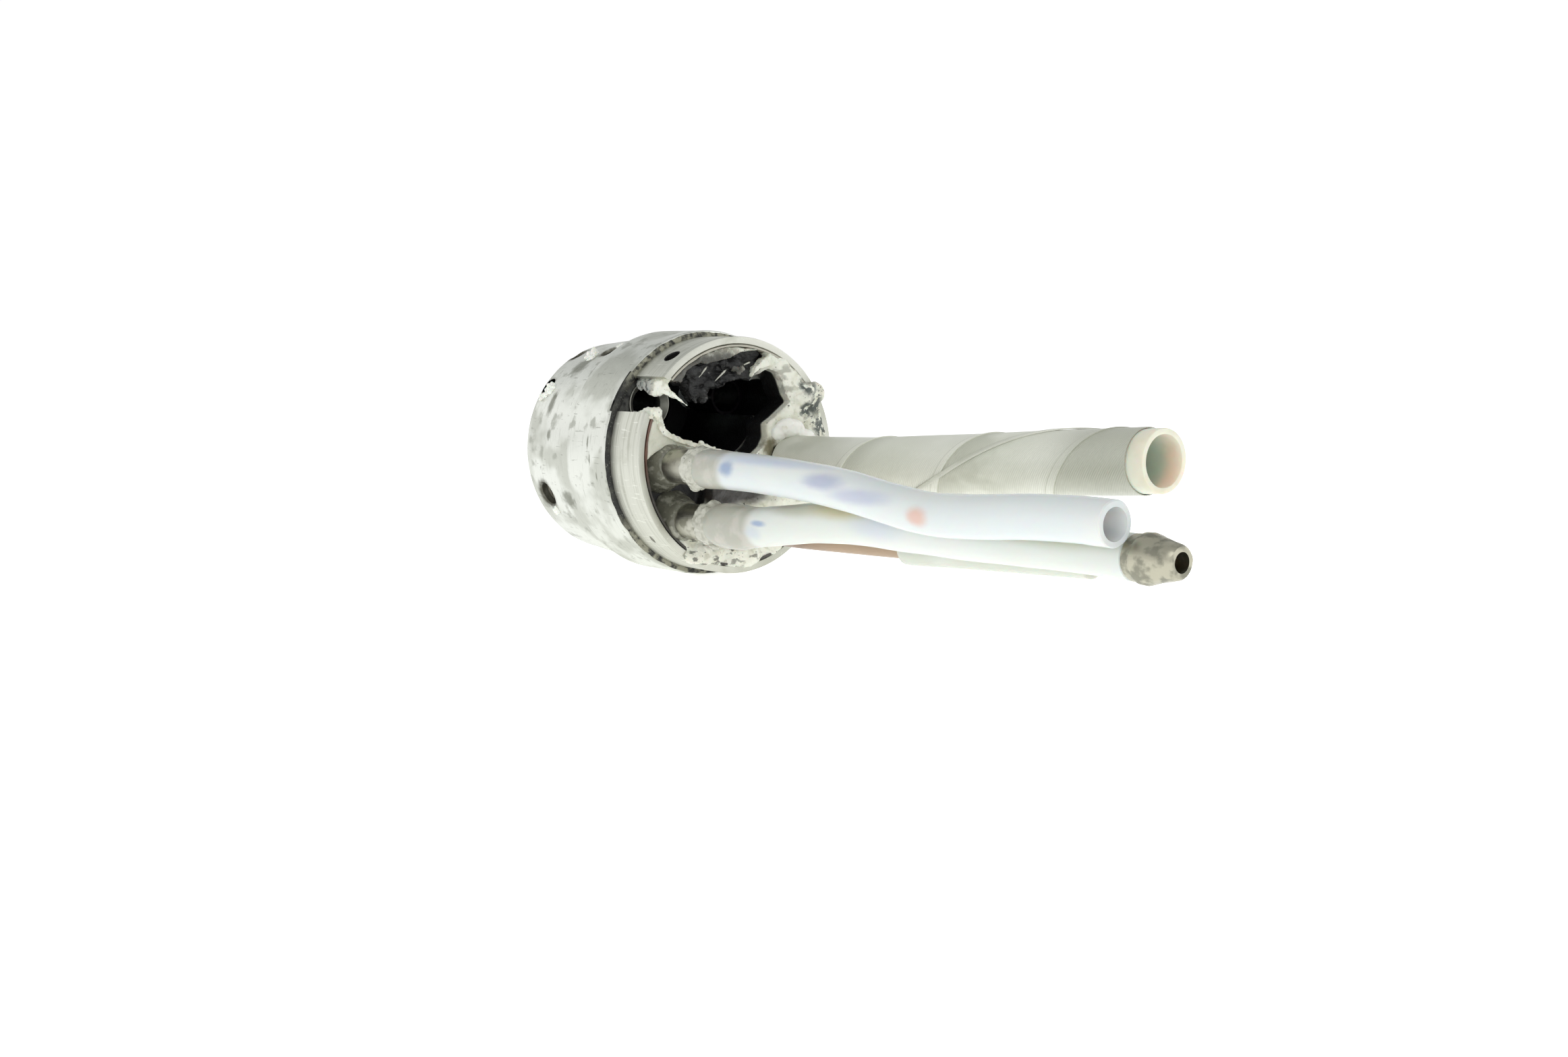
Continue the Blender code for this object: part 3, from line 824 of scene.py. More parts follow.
@dataclass(frozen=True)
class StudioFloor(Finish):
    """Matt white table top."""

    colour: str = "#FBFBFB"

    def make(self, origin: Vector) -> bpy.types.Material:
        """Build the material: almost pure white, lifted a little so that it stays white in soft shade.

        Args:
            origin: the tip frame's origin in the scene, in metres.

        Returns:
            The material.
        """
        coat = Shader("white_table_top", origin, self.colour, Roughness=0.9, Specular_IOR_Level=0.1,
                      Emission_Strength=0.62)
        coat.coat["Emission Color"] = linear("#FFFFFF")
        coat.layer(coat.grain(40.0, 0.4, 0.7), "#F7F7F6", 0.5)
        return coat.done()


# ---------------------------------------------------------------- drawing

def bmesh_of(points: Sequence[Place], closed: bool = False) -> bmesh.types.BMesh:
    """Start a drawing from a line through a few points.

    Args:
        points: where the line goes, in mm.
        closed: whether it comes back to its start.

    Returns:
        A drawing with that line alone.
    """
    work = bmesh.new()
    verts = [work.verts.new(p) for p in points]
    for a, b in zip(verts, verts[1:] + verts[:1] if closed else verts[1:]):
        work.edges.new((a, b))
    return work


def lathe(section: Sequence[Point], facets: int = MEDIUM, closed: bool = False,
          spacing: float | None = None, centre: Point = (0, 0)) -> bmesh.types.BMesh:
    """Turn a section round the tip's axis, or round a line parallel to it.

    Args:
        section: (x, radius) points.
        facets: how many faces go round.
        closed: whether the section closes on itself, as a ring's does; otherwise it ends on the axis.
        spacing: the longest edge along the section, in mm, or None to leave its edges whole.
        centre: where the line stands, as (y, z).

    Returns:
        The turned piece.
    """
    work = bmesh_of([(x, 0, r) for x, r in section], closed)
    if spacing:
        for edge in list(work.edges):
            cuts = int(edge.calc_length() / spacing)
            if cuts:
                bmesh.ops.subdivide_edges(work, edges=[edge], cuts=cuts)
    bmesh.ops.spin(work, geom=work.verts[:] + work.edges[:], cent=(0, 0, 0), axis=(1, 0, 0),
                   angle=TURN, steps=facets, use_merge=True)
    bmesh.ops.remove_doubles(work, verts=work.verts, dist=MERGE)
    bmesh.ops.recalc_face_normals(work, faces=work.faces)
    bmesh.ops.translate(work, vec=(0, *centre), verts=work.verts)
    return work


def ring(x0: float, x1: float, inner: float, outer: float) -> list[Point]:
    """The section of a plain ring between x0 and x1."""
    return [(x0, inner), (x0, outer), (x1, outer), (x1, inner)]


def rod(x0: float, x1: float, radius: float) -> list[Point]:
    """The section of a plain rod between x0 and x1."""
    return [(x0, 0), (x0, radius), (x1, radius), (x1, 0)]


def ease(work: bmesh.types.BMesh, width: float, segments: int = 2) -> bmesh.types.BMesh:
    """Round every sharp edge of a drawing.

    Args:
        work: the drawing.
        width: how far the rounding reaches, in mm.
        segments: how many faces make it.

    Returns:
        The same drawing.
    """
    edges = [e for e in work.edges if len(e.link_faces) == 2 and e.calc_face_angle(0) > SHARP_ANGLE]
    bmesh.ops.bevel(work, geom=edges, offset=width, offset_type="OFFSET", affect="EDGES",
                    segments=segments, profile=0.5, material=-1, clamp_overlap=True)
    return work


def prism(outline: Sequence[Point], x0: float, x1: float) -> bmesh.types.BMesh:
    """Extrude an outline along the tip's axis.

    Args:
        outline: (y, z) corners in order.
        x0: where the front face is.
        x1: where the rear face is.

    Returns:
        The closed solid.
    """
    work = bmesh_of([(x0, y, z) for y, z in outline], closed=True)
    face = bmesh.ops.contextual_create(work, geom=work.edges[:])["faces"]
    pulled = bmesh.ops.extrude_face_region(work, geom=face, use_keep_orig=True)["geom"]
    bmesh.ops.translate(work, vec=(x1 - x0, 0, 0),
                        verts=[g for g in pulled if isinstance(g, bmesh.types.BMVert)])
    bmesh.ops.recalc_face_normals(work, faces=work.faces)
    return work


def radial(work: bmesh.types.BMesh, x: float, angle: float) -> bmesh.types.BMesh:
    """Stand a drawing made along +X on the tip's skin.

    Args:
        work: the drawing, whose x is its distance from the tip's axis.
        x: where it stands along the tip.
        angle: how far it is turned from the top towards -Y, in degrees.

    Returns:
        The same drawing.
    """
    stand = (Matrix.Translation((x, 0, 0)) @ Matrix.Rotation(math.radians(angle), 4, "X")
             @ Matrix.Rotation(math.radians(-90), 4, "Y"))
    bmesh.ops.transform(work, matrix=stand, verts=work.verts)
    return work


def block(size: Place, centre: Place, angle: float = 0.0) -> bmesh.types.BMesh:
    """A box for cutting, turned about the tip's axis from the top towards -Y.

    Args:
        size: its length, width and height in mm.
        centre: its middle before it is turned.
        angle: how far it is turned, in degrees.

    Returns:
        The box.
    """
    work = bmesh.new()
    bmesh.ops.create_cube(work, size=1)
    place = (Matrix.Rotation(math.radians(angle), 4, "X") @ Matrix.Translation(centre)
             @ Matrix.Diagonal((*size, 1)))
    bmesh.ops.transform(work, matrix=place, verts=work.verts)
    return work


def lump(radii: Place, centre: Place, detail: int = 4) -> bmesh.types.BMesh:
    """A rounded blob to be roughened.

    Args:
        radii: half its size along x, y and z.
        centre: its middle.
        detail: how finely it is divided.

    Returns:
        The blob.
    """
    work = bmesh.new()
    bmesh.ops.create_icosphere(work, subdivisions=detail, radius=1)
    bmesh.ops.transform(work, matrix=Matrix.Translation(centre) @ Matrix.Diagonal((*radii, 1)),
                        verts=work.verts)
    return work


def as_object(work: bmesh.types.BMesh, name: str) -> bpy.types.Object:
    """Put a drawing in the scene for a modifier to work on, and free it.

    Args:
        work: the drawing.
        name: the object's name.

    Returns:
        The object.
    """
    mesh = bpy.data.meshes.new(name)
    work.to_mesh(mesh)
    work.free()
    obj = bpy.data.objects.new(name, mesh)
    bpy.context.scene.collection.objects.link(obj)
    return obj


def with_modifiers(obj: bpy.types.Object) -> bmesh.types.BMesh:
    """Read an object back with its modifiers applied, and remove it.

    Args:
        obj: the object.

    Returns:
        Its shape as a drawing.
    """
    evaluated = obj.evaluated_get(bpy.context.evaluated_depsgraph_get())
    mesh = bpy.data.meshes.new_from_object(evaluated)
    work = bmesh.new()
    work.from_mesh(mesh)
    bpy.data.meshes.remove(mesh)
    bpy.data.objects.remove(obj)
    return work


def carve(work: bmesh.types.BMesh, cutters: Sequence[bmesh.types.BMesh],
          paint: int = CUT_FACE) -> bmesh.types.BMesh:
    """Subtract cutters from a solid.

    Args:
        work: the solid.
        cutters: what is taken away, one after another.
        paint: the material place that the cut faces get.

    Returns:
        What is left.
    """
    body = as_object(work, "stock")
    tools = []
    for cutter in cutters:
        for face in cutter.faces:
            face.material_index = paint
        tool = as_object(cutter, "tool")
        cut = body.modifiers.new("cut", "BOOLEAN")
        cut.operation, cut.solver, cut.material_mode, cut.object = "DIFFERENCE", "EXACT", "INDEX", tool
        tools.append(tool)
    result = with_modifiers(body)
    for tool in tools:
        bpy.data.objects.remove(tool)
    return result


def melt(works: Sequence[bmesh.types.BMesh], voxel: float) -> bmesh.types.BMesh:
    """Fuse drawings that overlap into one skin of even small faces.

    Args:
        works: the drawings.
        voxel: the size of a face, in mm.

    Returns:
        The skin.
    """
    whole = bmesh.new()
    for work in works:
        part = bpy.data.meshes.new("part")
        work.to_mesh(part)
        work.free()
        whole.from_mesh(part)
        bpy.data.meshes.remove(part)
    body = as_object(whole, "melt")
    remesh = body.modifiers.new("skin", "REMESH")
    remesh.mode, remesh.voxel_size = "VOXEL", voxel
    return with_modifiers(body)


def roughen(work: bmesh.types.BMesh, size: float, depth: float, where: Field | None = None,
            seed: float = 0.0, octaves: int = 3) -> bmesh.types.BMesh:
    """Move a skin in and out by noise.

    Args:
        work: the drawing.
        size: how far apart the bumps are, in mm.
        depth: the most that a point moves, in mm.
        where: the share of the depth at a point, or None for all of it everywhere.
        seed: shifts the noise.
        octaves: how many finer noises are added.

    Returns:
        The same drawing.
    """
    work.normal_update()
    shift = Vector((seed, seed * 1.7, -seed))
    moves = []
    for vert in work.verts:
        share = where(vert.co) if where else 1.0
        height = noise.fractal(vert.co / size + shift, 1.0, 2.0, octaves) if share else 0.0
        moves.append(vert.normal * (height * depth * share))
    for vert, move in zip(work.verts, moves):
        vert.co += move
    return work


def drape(outline: Sequence[Point], radius: float, wall: float, sink: Callable[[float, float], float],
          voxel: float) -> bmesh.types.BMesh:
    """Lay a thin flake on a cylinder round the tip's axis.

    Args:
        outline: the flake's (x, degrees from the top towards -Y) corners in order.
        radius: the radius of its outer face.
        wall: how thick it is.
        sink: how far it bends inwards at (x, degrees).
        voxel: the size of its faces, in mm.

    Returns:
        The flake.
    """
    flat = [(radius * math.radians(angle), x) for x, angle in outline]
    flake = melt([prism(flat, 0, wall)], voxel)
    for vert in flake.verts:
        depth, along, x = vert.co
        angle = along / radius
        reach = radius - depth - sink(x, math.degrees(angle))
        vert.co = (x, -reach * math.sin(angle), reach * math.cos(angle))
    bmesh.ops.recalc_face_normals(flake, faces=flake.faces)
    return flake


@dataclass
class Route:
    """The centre line of a free tube, as (x, y, z) points with x rising."""

    points: Sequence[Place]

    def at(self, x: float) -> Point:
        """Find the line's (y, z) at x, on a smooth curve through the points.

        Args:
            x: a place along the line, in mm.

        Returns:
            The line's y and z.
        """
        rows = self.points
        if x <= rows[0][0]:
            return rows[0][1:]
        if x >= rows[-1][0]:
            a, b = rows[-2], rows[-1]
            t = (x - b[0]) / (b[0] - a[0])
            return tuple(b[i] + (b[i] - a[i]) * t for i in (1, 2))
        k = next(i for i in range(len(rows) - 1) if rows[i + 1][0] > x)
        a, b = rows[k], rows[k + 1]
        span = b[0] - a[0]
        t = (x - a[0]) / span
        slope_a, slope_b = self.slope(k), self.slope(k + 1)
        h = (2 * t ** 3 - 3 * t * t + 1, t ** 3 - 2 * t * t + t, 3 * t * t - 2 * t ** 3, t ** 3 - t * t)
        return tuple(h[0] * a[i] + h[1] * span * slope_a[i - 1] + h[2] * b[i] + h[3] * span * slope_b[i - 1]
                     for i in (1, 2))

    def slope(self, k: int) -> Point:
        """How fast y and z change with x at point k.

        Args:
            k: the point's number.

        Returns:
            The change of y and of z for each mm.
        """
        if k == 0:
            return (0.0, 0.0)
        a, b = self.points[k - 1], self.points[min(k + 1, len(self.points) - 1)]
        return tuple((b[i] - a[i]) / (b[0] - a[0]) for i in (1, 2))

    def bend(self, work: bmesh.types.BMesh) -> bmesh.types.BMesh:
        """Bend a drawing made along the X axis so that it follows the line.

        Args:
            work: the drawing.

        Returns:
            The same drawing.
        """
        for vert in work.verts:
            y, z = self.at(vert.co.x)
            vert.co.y += y
            vert.co.z += z
        return work


def wind(x0: float, x1: float, start: float, pitch: float, section: Sequence[Point],
         facets: int = 72) -> bmesh.types.BMesh:
    """Wind a flat strip on the X axis. Towards the rear it rises on the -Y side.

    Args:
        x0: where the winding is cut off at the front.
        x1: where it is cut off at the rear.
        start: an x where the section's origin crosses the -Y side at half height.
        pitch: how far it moves along in one turn.
        section: the strip's closed section as (x, radius) points.
        facets: how many faces go round in one turn.

    Returns:
        The strip.
    """
    width = max(x for x, _ in section) - min(x for x, _ in section)
    turns = math.ceil((x1 - x0 + 2 * width) / pitch) + 1
    first = start - pitch * math.ceil((start - x0 + width) / pitch)
    work = bmesh_of([(first + x, -r, 0) for x, r in section], closed=True)
    lap = work.verts.layers.float.new("lap")
    for vert, (x, _) in zip(work.verts, section):
        vert[lap] = (x - min(x for x, _ in section)) / width
    steps = turns * facets
    bmesh.ops.spin(work, geom=work.verts[:] + work.edges[:], cent=(0, 0, 0), axis=(1, 0, 0),
                   angle=-TURN * turns, steps=steps, dvec=(pitch / facets, 0, 0), use_merge=False)
    bmesh.ops.recalc_face_normals(work, faces=work.faces)
    for x, side in ((x0, -1), (x1, 1)):
        bmesh.ops.bisect_plane(work, geom=work.verts[:] + work.edges[:] + work.faces[:], dist=MERGE,
                               plane_co=(x, 0, 0), plane_no=(side, 0, 0), clear_outer=True)
        rim = [e for e in work.edges if e.is_boundary]
        bmesh.ops.holes_fill(work, edges=rim)
    return work


@dataclass
class Workshop:
    """Knows where the tip stands in the frame, and turns drawings into finished pieces."""

    origin: Vector
    finishes: dict[Finish, bpy.types.Material] = field(default_factory=dict)

    def material(self, finish: Finish) -> bpy.types.Material:
        """Give the material of a finish, making it the first time.

        Args:
            finish: the finish.

        Returns:
            The material.
        """
        if finish not in self.finishes:
            self.finishes[finish] = finish.make(self.origin)
        return self.finishes[finish]

    def deliver(self, name: str, work: bmesh.types.BMesh, finishes: Sequence[Finish],
                stands_for: Sequence[str] = (), body: Body = Body.TIP,
                bend: tuple[Body, float, float] | None = None) -> bpy.types.Object:
        """Scale a drawing to metres, put it in its place and, unless bend is given, tie it to the frame.

        Args:
            name: the piece's name.
            work: the drawing, which is freed.
            finishes: a finish for each material place.
            stands_for: the CAD nodes that it replaces.
            body: the body that it rides on.
            bend: if given, the piece is baked in place and not tied to a body; the body and the x values in
                it are not used.

        Returns:
            The finished piece.
        """
        place = Matrix.Translation(self.origin) @ Matrix.Scale(MM, 4)
        bmesh.ops.transform(work, matrix=place, verts=work.verts)
        mesh = bpy.data.meshes.new(name)
        work.to_mesh(mesh)
        work.free()
        for finish in finishes:
            mesh.materials.append(self.material(finish))
        mesh.shade_smooth()
        mesh.set_sharp_from_angle(angle=SHARP_ANGLE)
        piece = bpy.data.objects.new(name, mesh)
        bpy.context.scene.collection.objects.link(piece)
        if bend:
            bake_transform(piece)
        else:
            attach(piece, body.value)
        if stands_for:
            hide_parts(*stands_for)
        LOG.info("%s: %d faces on %s", name, len(mesh.polygons), body.value)
        return piece


# ---------------------------------------------------------------- sub-assemblies

@dataclass
class TipBody:
    """The machined steel body: rounded nose, shoulder band, spigot and all of its bores."""

    front_x: float = FACE_X
    nose_front_r: float = 5.69
    nose_rear_r: float = 6.05
    nose_round: float = 0.75
    band_x: Point = (-6.27, SHOULDER_X)
    shoulder_r: float = 6.32
    spigot_r: float = 5.52
    spigot_rear_x: float = -1.9
    camera_r: float = 2.87
    light_r: float = 0.97
    light_mouth_r: float = 1.2
    # Set-screw holes: x, degrees from the top towards -Y, radius, depth reached from the axis
    holes: tuple[tuple[float, float, float, float], ...] = (
        (-11.2, 28.5, 0.4, 3.9), (-7.7, 29.0, 0.4, 4.6), (-11.0, 54.5, 0.4, 4.6), (-10.1, 115.0, 0.64, 4.5))
    # White adhesive left on the nose: x, degrees, size
    blobs: tuple[tuple[float, float, float], ...] = (
        (-9.1, 31.5, 0.42), (-8.75, 34.5, 0.26), (-10.5, 56.5, 0.4), (-10.9, 60.5, 0.3), (-7.3, 24.5, 0.2),
        (-9.85, 124.5, 0.26), (-10.2, 127.0, 0.14), (-2.95, 128.0, 0.08))
    dent_count: int = 46

    def section(self) -> list[Point]:
        """The turned outline, from the front face round to the spigot.

        Returns:
            (x, radius) points, ending on the axis.
        """
        arc = [(self.front_x + self.nose_round * (1 - math.cos(a)),
                self.nose_front_r - self.nose_round * (1 - math.sin(a)))
               for a in (math.pi / 2 * i / 8 for i in range(9))]
        front, rear = self.band_x
        return [(self.front_x, 0), *arc, (front - 0.22, self.nose_rear_r),
                (front - 0.04, self.shoulder_r - 0.03), (front + 0.05, self.shoulder_r),
                (rear - 0.09, self.shoulder_r), (rear - 0.02, self.shoulder_r - 0.03),
                (rear, self.shoulder_r - 0.07),
                (rear, self.spigot_r), (self.spigot_rear_x, self.spigot_r), (self.spigot_rear_x, 0)]

    def bores(self) -> list[bmesh.types.BMesh]:
        """Every bore that is painted black, as a solid to take away.

        Returns:
            The solids.
        """
        front, rear = self.front_x - 1, self.spigot_rear_x + 0.6
        tools = [lathe(rod(-8.0, rear, self.camera_r), MEDIUM, centre=CAMERA_YZ),
                 lathe(rod(front, -7.7, 1.73), MEDIUM, centre=CAMERA_YZ)]
        behind = rear + 0.1
        flared = [(-7.0, 0), (-7.0, self.light_r), (-3.02, self.light_r), (-2.74, self.light_mouth_r),
                  (behind, self.light_mouth_r), (behind, 0)]
        for yz, bore in ((LEFT_LIGHT_YZ, flared), (RIGHT_LIGHT_YZ, rod(-7.0, behind, self.light_r))):
            tools.append(lathe(bore, COARSE, centre=yz))
            tools.append(lathe(rod(front, -6.7, 0.76), COARSE, centre=yz))
        tools.append(lathe(rod(front, rear, 1.33), MEDIUM, centre=CHANNEL_YZ))
        tools.append(lathe(rod(front, rear, 0.48), COARSE, centre=JET_YZ))
        tools += [lathe(rod(PIPE_FRONT_X - CLEAR, rear, 0.63), COARSE, centre=yz)
                  for yz in (AIR_YZ, WATER_YZ)]
        tools.append(lathe(rod(front, -9.1, 0.65), COARSE, centre=NOZZLE_YZ))
        slot_floor = self.band_x[1] - 0.12
        tools.append(block((rear + 0.3 - slot_floor, 2.3, 4.8), ((rear + 0.3 + slot_floor) / 2, 0, 5.6), 59))
        return tools

    def screw_holes(self) -> list[bmesh.types.BMesh]:
        """The radial holes with their worn rims, as solids to take away.

        Returns:
            The solids.
        """
        tools = []
        for x, angle, radius, depth in self.holes:
            skin = self.skin_radius(x)
            tool = [(depth, 0), (depth, radius), (skin - 0.16, radius), (skin - 0.02, radius + 0.1),
                    (skin + 0.1, radius + 0.24), (7.0, radius + 0.4), (7.0, 0)]
            tools.append(radial(lathe(tool, COARSE), x, angle))
        return tools

    def skin_radius(self, x: float) -> float:
        """The nose's radius at x, along its taper.

        Args:
            x: a place along the tip, in mm.

        Returns:
            The radius, in mm.
        """
        start = self.front_x + self.nose_round
        share = (x - start) / (self.band_x[0] - 0.22 - start)
        return self.nose_front_r + (self.nose_rear_r - self.nose_front_r) * min(max(share, 0), 1)

    def dent(self, work: bmesh.types.BMesh) -> None:
        """Press shallow dents and a slight unevenness into the nose and the shoulder.

        Args:
            work: the drawing of the body.
        """
        chance = random.Random(5)
        dents = []
        for _ in range(self.dent_count):
            x, angle = chance.uniform(-11.3, -3.0), chance.uniform(0, TURN)
            skin = self.skin_radius(x) if x < self.band_x[0] else self.shoulder_r
            centre = Vector((x, -skin * math.sin(angle), skin * math.cos(angle)))
            dents.append((centre, chance.uniform(0.12, 0.45), chance.uniform(0.006, 0.025)))
        inner = self.spigot_r + 0.15
        for vert in work.verts:
            out = Vector((0, vert.co.y, vert.co.z))
            if out.length < inner or vert.co.x > self.band_x[1] - 0.03:
                continue
            push = 0.012 * noise.fractal(vert.co / 2.2, 1.0, 2.0, 3)
            for centre, radius, depth in dents:
                away = (vert.co - centre).length / radius
                if away < 1:
                    push -= depth * (1 - away * away) ** 2
            vert.co += out.normalized() * push

    def build(self, shop: Workshop) -> None:
        """Make the body and the adhesive left on it.

        Args:
            shop: where the pieces are delivered.
        """
        stock = lathe(self.section(), FINE, spacing=0.16)
        body = carve(carve(stock, self.bores()), self.screw_holes(), METAL_FACE)
        self.dent(body)
        shop.deliver("tip_body_steel", body, [MachinedSteel(), BlackBore()], ["tip_body"])
        for number, (x, angle, size) in enumerate(self.blobs):
            skin = self.skin_radius(x) if x < self.band_x[0] else self.shoulder_r
            blob = roughen(lump((size * 0.35, size * 0.9, size * 1.1), (skin, 0, 0), 4), size * 0.7,
                           size * 0.5, seed=number)
            shop.deliver(f"adhesive_crumb_{number + 1}", radial(blob, x, angle), [GlossyResin()])


@dataclass
class RearCollar:
    """The turned ring behind the shoulder, with its seal in front and an insulating film inside."""

    front_x: float = SHOULDER_X
    outer: float = COLLAR_R
    wall: float = COLLAR_WALL
    slot_angle: float = 58.75
    slot_width: float = 2.04
    pin_hole: tuple[float, float, float] = (-1.06, 34.0, 0.42)
    film_wall: float = 0.1

    def build(self, shop: Workshop) -> None:
        """Make the ring, the seal and the film.

        Args:
            shop: where the pieces are delivered.
        """
        inner = self.outer - self.wall
        section = [(self.front_x, inner), (self.front_x, self.outer), (-0.05, self.outer),
                   (-0.015, self.outer - 0.015), (0.0, self.outer - 0.05), (0.0, inner + 0.04),
                   (-0.04, inner)]
        pin_x, pin_angle, pin_r = self.pin_hole
        pin = [(5.0, 0), (5.0, pin_r), (self.outer - 0.05, pin_r), (self.outer + 0.03, pin_r + 0.06),
               (7.0, pin_r + 0.4), (7.0, 0)]
        collar = carve(lathe(section, FINE, True, 0.3),
                       [block((4, self.slot_width, 3), (-1.2, 0, 5.9), self.slot_angle)], METAL_FACE)
        collar = carve(collar, [radial(lathe(pin, COARSE), pin_x, pin_angle)])
        shop.deliver("rear_collar_steel", collar, [TurnedSteel(), BlackBore()], ["rear_collar"])
        front = self.front_x
        bead = lathe([(front - 0.08, 5.9), (front - 0.08, 6.25), (front, 6.25), (front + 0.05, 6.17),
                      (front + 0.09, 6.03), (front + 0.05, 5.9)], FINE, True, 0.08)
        roughen(bead, 0.5, 0.03)
        shop.deliver("shoulder_sealant_bead", bead, [SealantBead()], ["shoulder_seal"])
        film_r = inner - CLEAR
        film = carve(lathe(ring(RESIN_X, 0.02, film_r - self.film_wall, film_r), FINE, True),
                     [block((5, self.slot_width + 0.2, 3), (-1, 0, 5.6), self.slot_angle)], METAL_FACE)
        roughen(film, 0.6, 0.03, lambda at: 1.0 if at.x > -0.1 else 0.0)
        shop.deliver("insulating_film", film, [PolyimideFilm()], ["insulating_liner"])


@dataclass
class Potting:
    """The cast resin in the collar, broken open where the camera came out."""

    radius: float = 5.46
    front_x: float = RESIN_X
    rear_x: float = -0.02
    voxel: float = 0.075
    # The broken edge of the camera's cavity, as (y, z) on the rear face
    cavity: tuple[Point, ...] = (
        (-6.6, 2.6), (-5.3, 2.12), (-4.85, 1.92), (-4.77, 1.39), (-4.28, 1.01), (-3.5, 0.78), (-2.86, 0.61),
        (-1.41, 0.36), (0.02, 0.15), (1.08, 0.01), (1.58, 0.4), (1.84, 0.87), (1.8, 1.59), (2.3, 1.9),
        (3.32, 2.7), (3.02, 3.09), (2.73, 3.81), (2.44, 4.2), (1.85, 4.39), (1.46, 4.19), (0.78, 3.95),
        (1.5, 4.62), (1.9, 5.05), (1.5, 5.25), (1.0, 5.3), (0.2, 5.2), (-0.5, 4.94), (-1.3, 4.72),
        (-1.89, 4.6), (-2.27, 4.68), (-2.8, 4.45), (-3.1, 4.2), (-3.45, 3.75), (-4.15, 3.65), (-5.2, 4.6))
    recess_yz: Point = (-3.8, -1.75)
    recess_r: float = 2.05
    flake_voxel: float = 0.045
    # Outlines of the torn flakes: on the rear face as (y, z), or on the skin as (x, degrees)
    lip: tuple[Point, ...] = (
        (-5.3, 2.35), (-5.0, 2.42), (-4.72, 2.2), (-4.62, 1.75), (-4.52, 1.42), (-4.15, 1.12), (-3.45, 0.86),
        (-2.8, 0.68), (-2.1, 0.56), (-1.5, 0.45), (-1.5, 0.31), (-2.86, 0.5), (-3.5, 0.66), (-4.3, 0.93),
        (-4.78, 1.3), (-4.92, 1.8), (-5.3, 2.05))
    shard: tuple[Point, ...] = (
        (0.75, 3.93), (1.0, 4.2), (1.3, 4.38), (1.75, 4.5), (2.5, 4.75), (2.1, 5.15), (1.6, 4.9), (1.05, 4.5))
    upper_flap: tuple[Point, ...] = (
        (-2.62, 46.5), (-2.62, 51.5), (-2.45, 53.5), (-2.2, 54.0), (-1.95, 53.2), (-1.75, 54.5), (-1.4, 55.8),
        (-1.0, 56.6), (-0.6, 56.3), (-0.1, 55.2), (0.4, 55.4), (0.8, 55.9), (1.0, 56.2), (0.6, 54.0),
        (0.2, 52.2), (0.0, 50.5), (0.0, 46.5))
    lower_burr: tuple[Point, ...] = (
        (-1.9, 68.8), (-1.7, 67.3), (-1.2, 67.6), (-0.9, 66.5), (-0.5, 65.5), (-0.25, 66.6), (0.1, 65.6),
        (0.12, 70.5), (-0.9, 70.2), (-1.9, 69.8))

    def shape(self) -> bmesh.types.BMesh:
        """The cast disc, opened for the camera, the light guides and the pipes.

        Returns:
            The disc as one even skin.
        """
        disc = lathe(rod(self.front_x, self.rear_x, self.radius), FINE)
        low, high = self.front_x - 0.5, self.rear_x + 0.8
        opened = carve(disc, [
            prism(self.cavity, low, high),
            lathe(rod(low, high, 1.33), COARSE, centre=CHANNEL_YZ),
            lathe(rod(low, high, 0.89), COARSE, centre=AIR_YZ),
            lathe(rod(low, high, 0.89), COARSE, centre=WATER_YZ),
            lathe(rod(low, high, 0.48), COARSE, centre=JET_YZ),
            lathe([(-1.05, 0), (-1.05, self.recess_r), (-0.5, self.recess_r + 0.15),
                   (high, self.recess_r + 0.4), (high, 0)], COARSE, centre=self.recess_yz)], METAL_FACE)
        rolls = [lump((0.26, 0.9, 0.55), (0.02, 4.35, 3.0)), lump((0.2, 0.5, 1.0), (-0.04, 4.6, 1.3)),
                 lump((0.24, 1.2, 0.42), (0.0, -2.0, -4.8)), lump((0.26, 0.9, 0.4), (0.02, 0.5, -4.9)),
                 lump((0.22, 0.5, 0.9), (0.0, 3.2, -3.6)), lump((0.24, 0.4, 0.3), (0.04, 2.5, 0.75)),
                 lump((0.2, 0.5, 0.5), (0.0, 2.6, -2.6))]
        return melt([opened, *rolls], self.voxel)

    def build(self, shop: Workshop) -> None:
        """Make the resin with its bumps, pits and overflow, and the smooth blobs on it.

        Args:
            shop: where the pieces are delivered.
        """
        resin = self.shape()
        rear = self.rear_x - 0.25

        def near_rear(at: Vector) -> float:
            """Nothing deep inside, little on the waxy side by the film, and full on the broken face."""
            waxy = 0.2 if at.y < -3.6 else 1.0
            return waxy * min(max((at.x - rear) / 0.2, 0.08), 1.0)

        roughen(resin, 1.3, 0.08, near_rear, 3)
        roughen(resin, 0.38, 0.05, near_rear, 8)
        for vert in resin.verts:
            at = vert.co
            if at.x > rear and (at.y > 0.5 or at.z < -3.9):
                lift = min(max(at.y / 4.5, (-3.9 - at.z) / 1.2), 1.0) * min((at.x - rear) / 0.25, 1.0)
                at.x += 0.1 * lift
                across = math.hypot(at.y, at.z)
                if across > 5.0:
                    grow = 1 + 0.05 * lift * min((across - 5.0) / 0.4, 1.0)
                    at.y, at.z = at.y * grow, at.z * grow
        shop.deliver("broken_potting_resin", resin, [PottingResin()], ["rear_potting"])
        smooth = melt([lump((0.4, 0.9, 0.55), (0.2, 3.1, 1.35)), lump((0.35, 0.8, 0.32), (0.2, 3.9, 1.0)),
                       lump((0.3, 0.5, 0.4), (0.15, 2.5, 1.1)), lump((0.3, 0.7, 0.25), (0.3, 4.4, 0.75))],
                      0.05)
        roughen(smooth, 0.6, 0.07)
        shop.deliver("smooth_resin_run", smooth, [GlossyResin()])
        self.build_shards(shop)

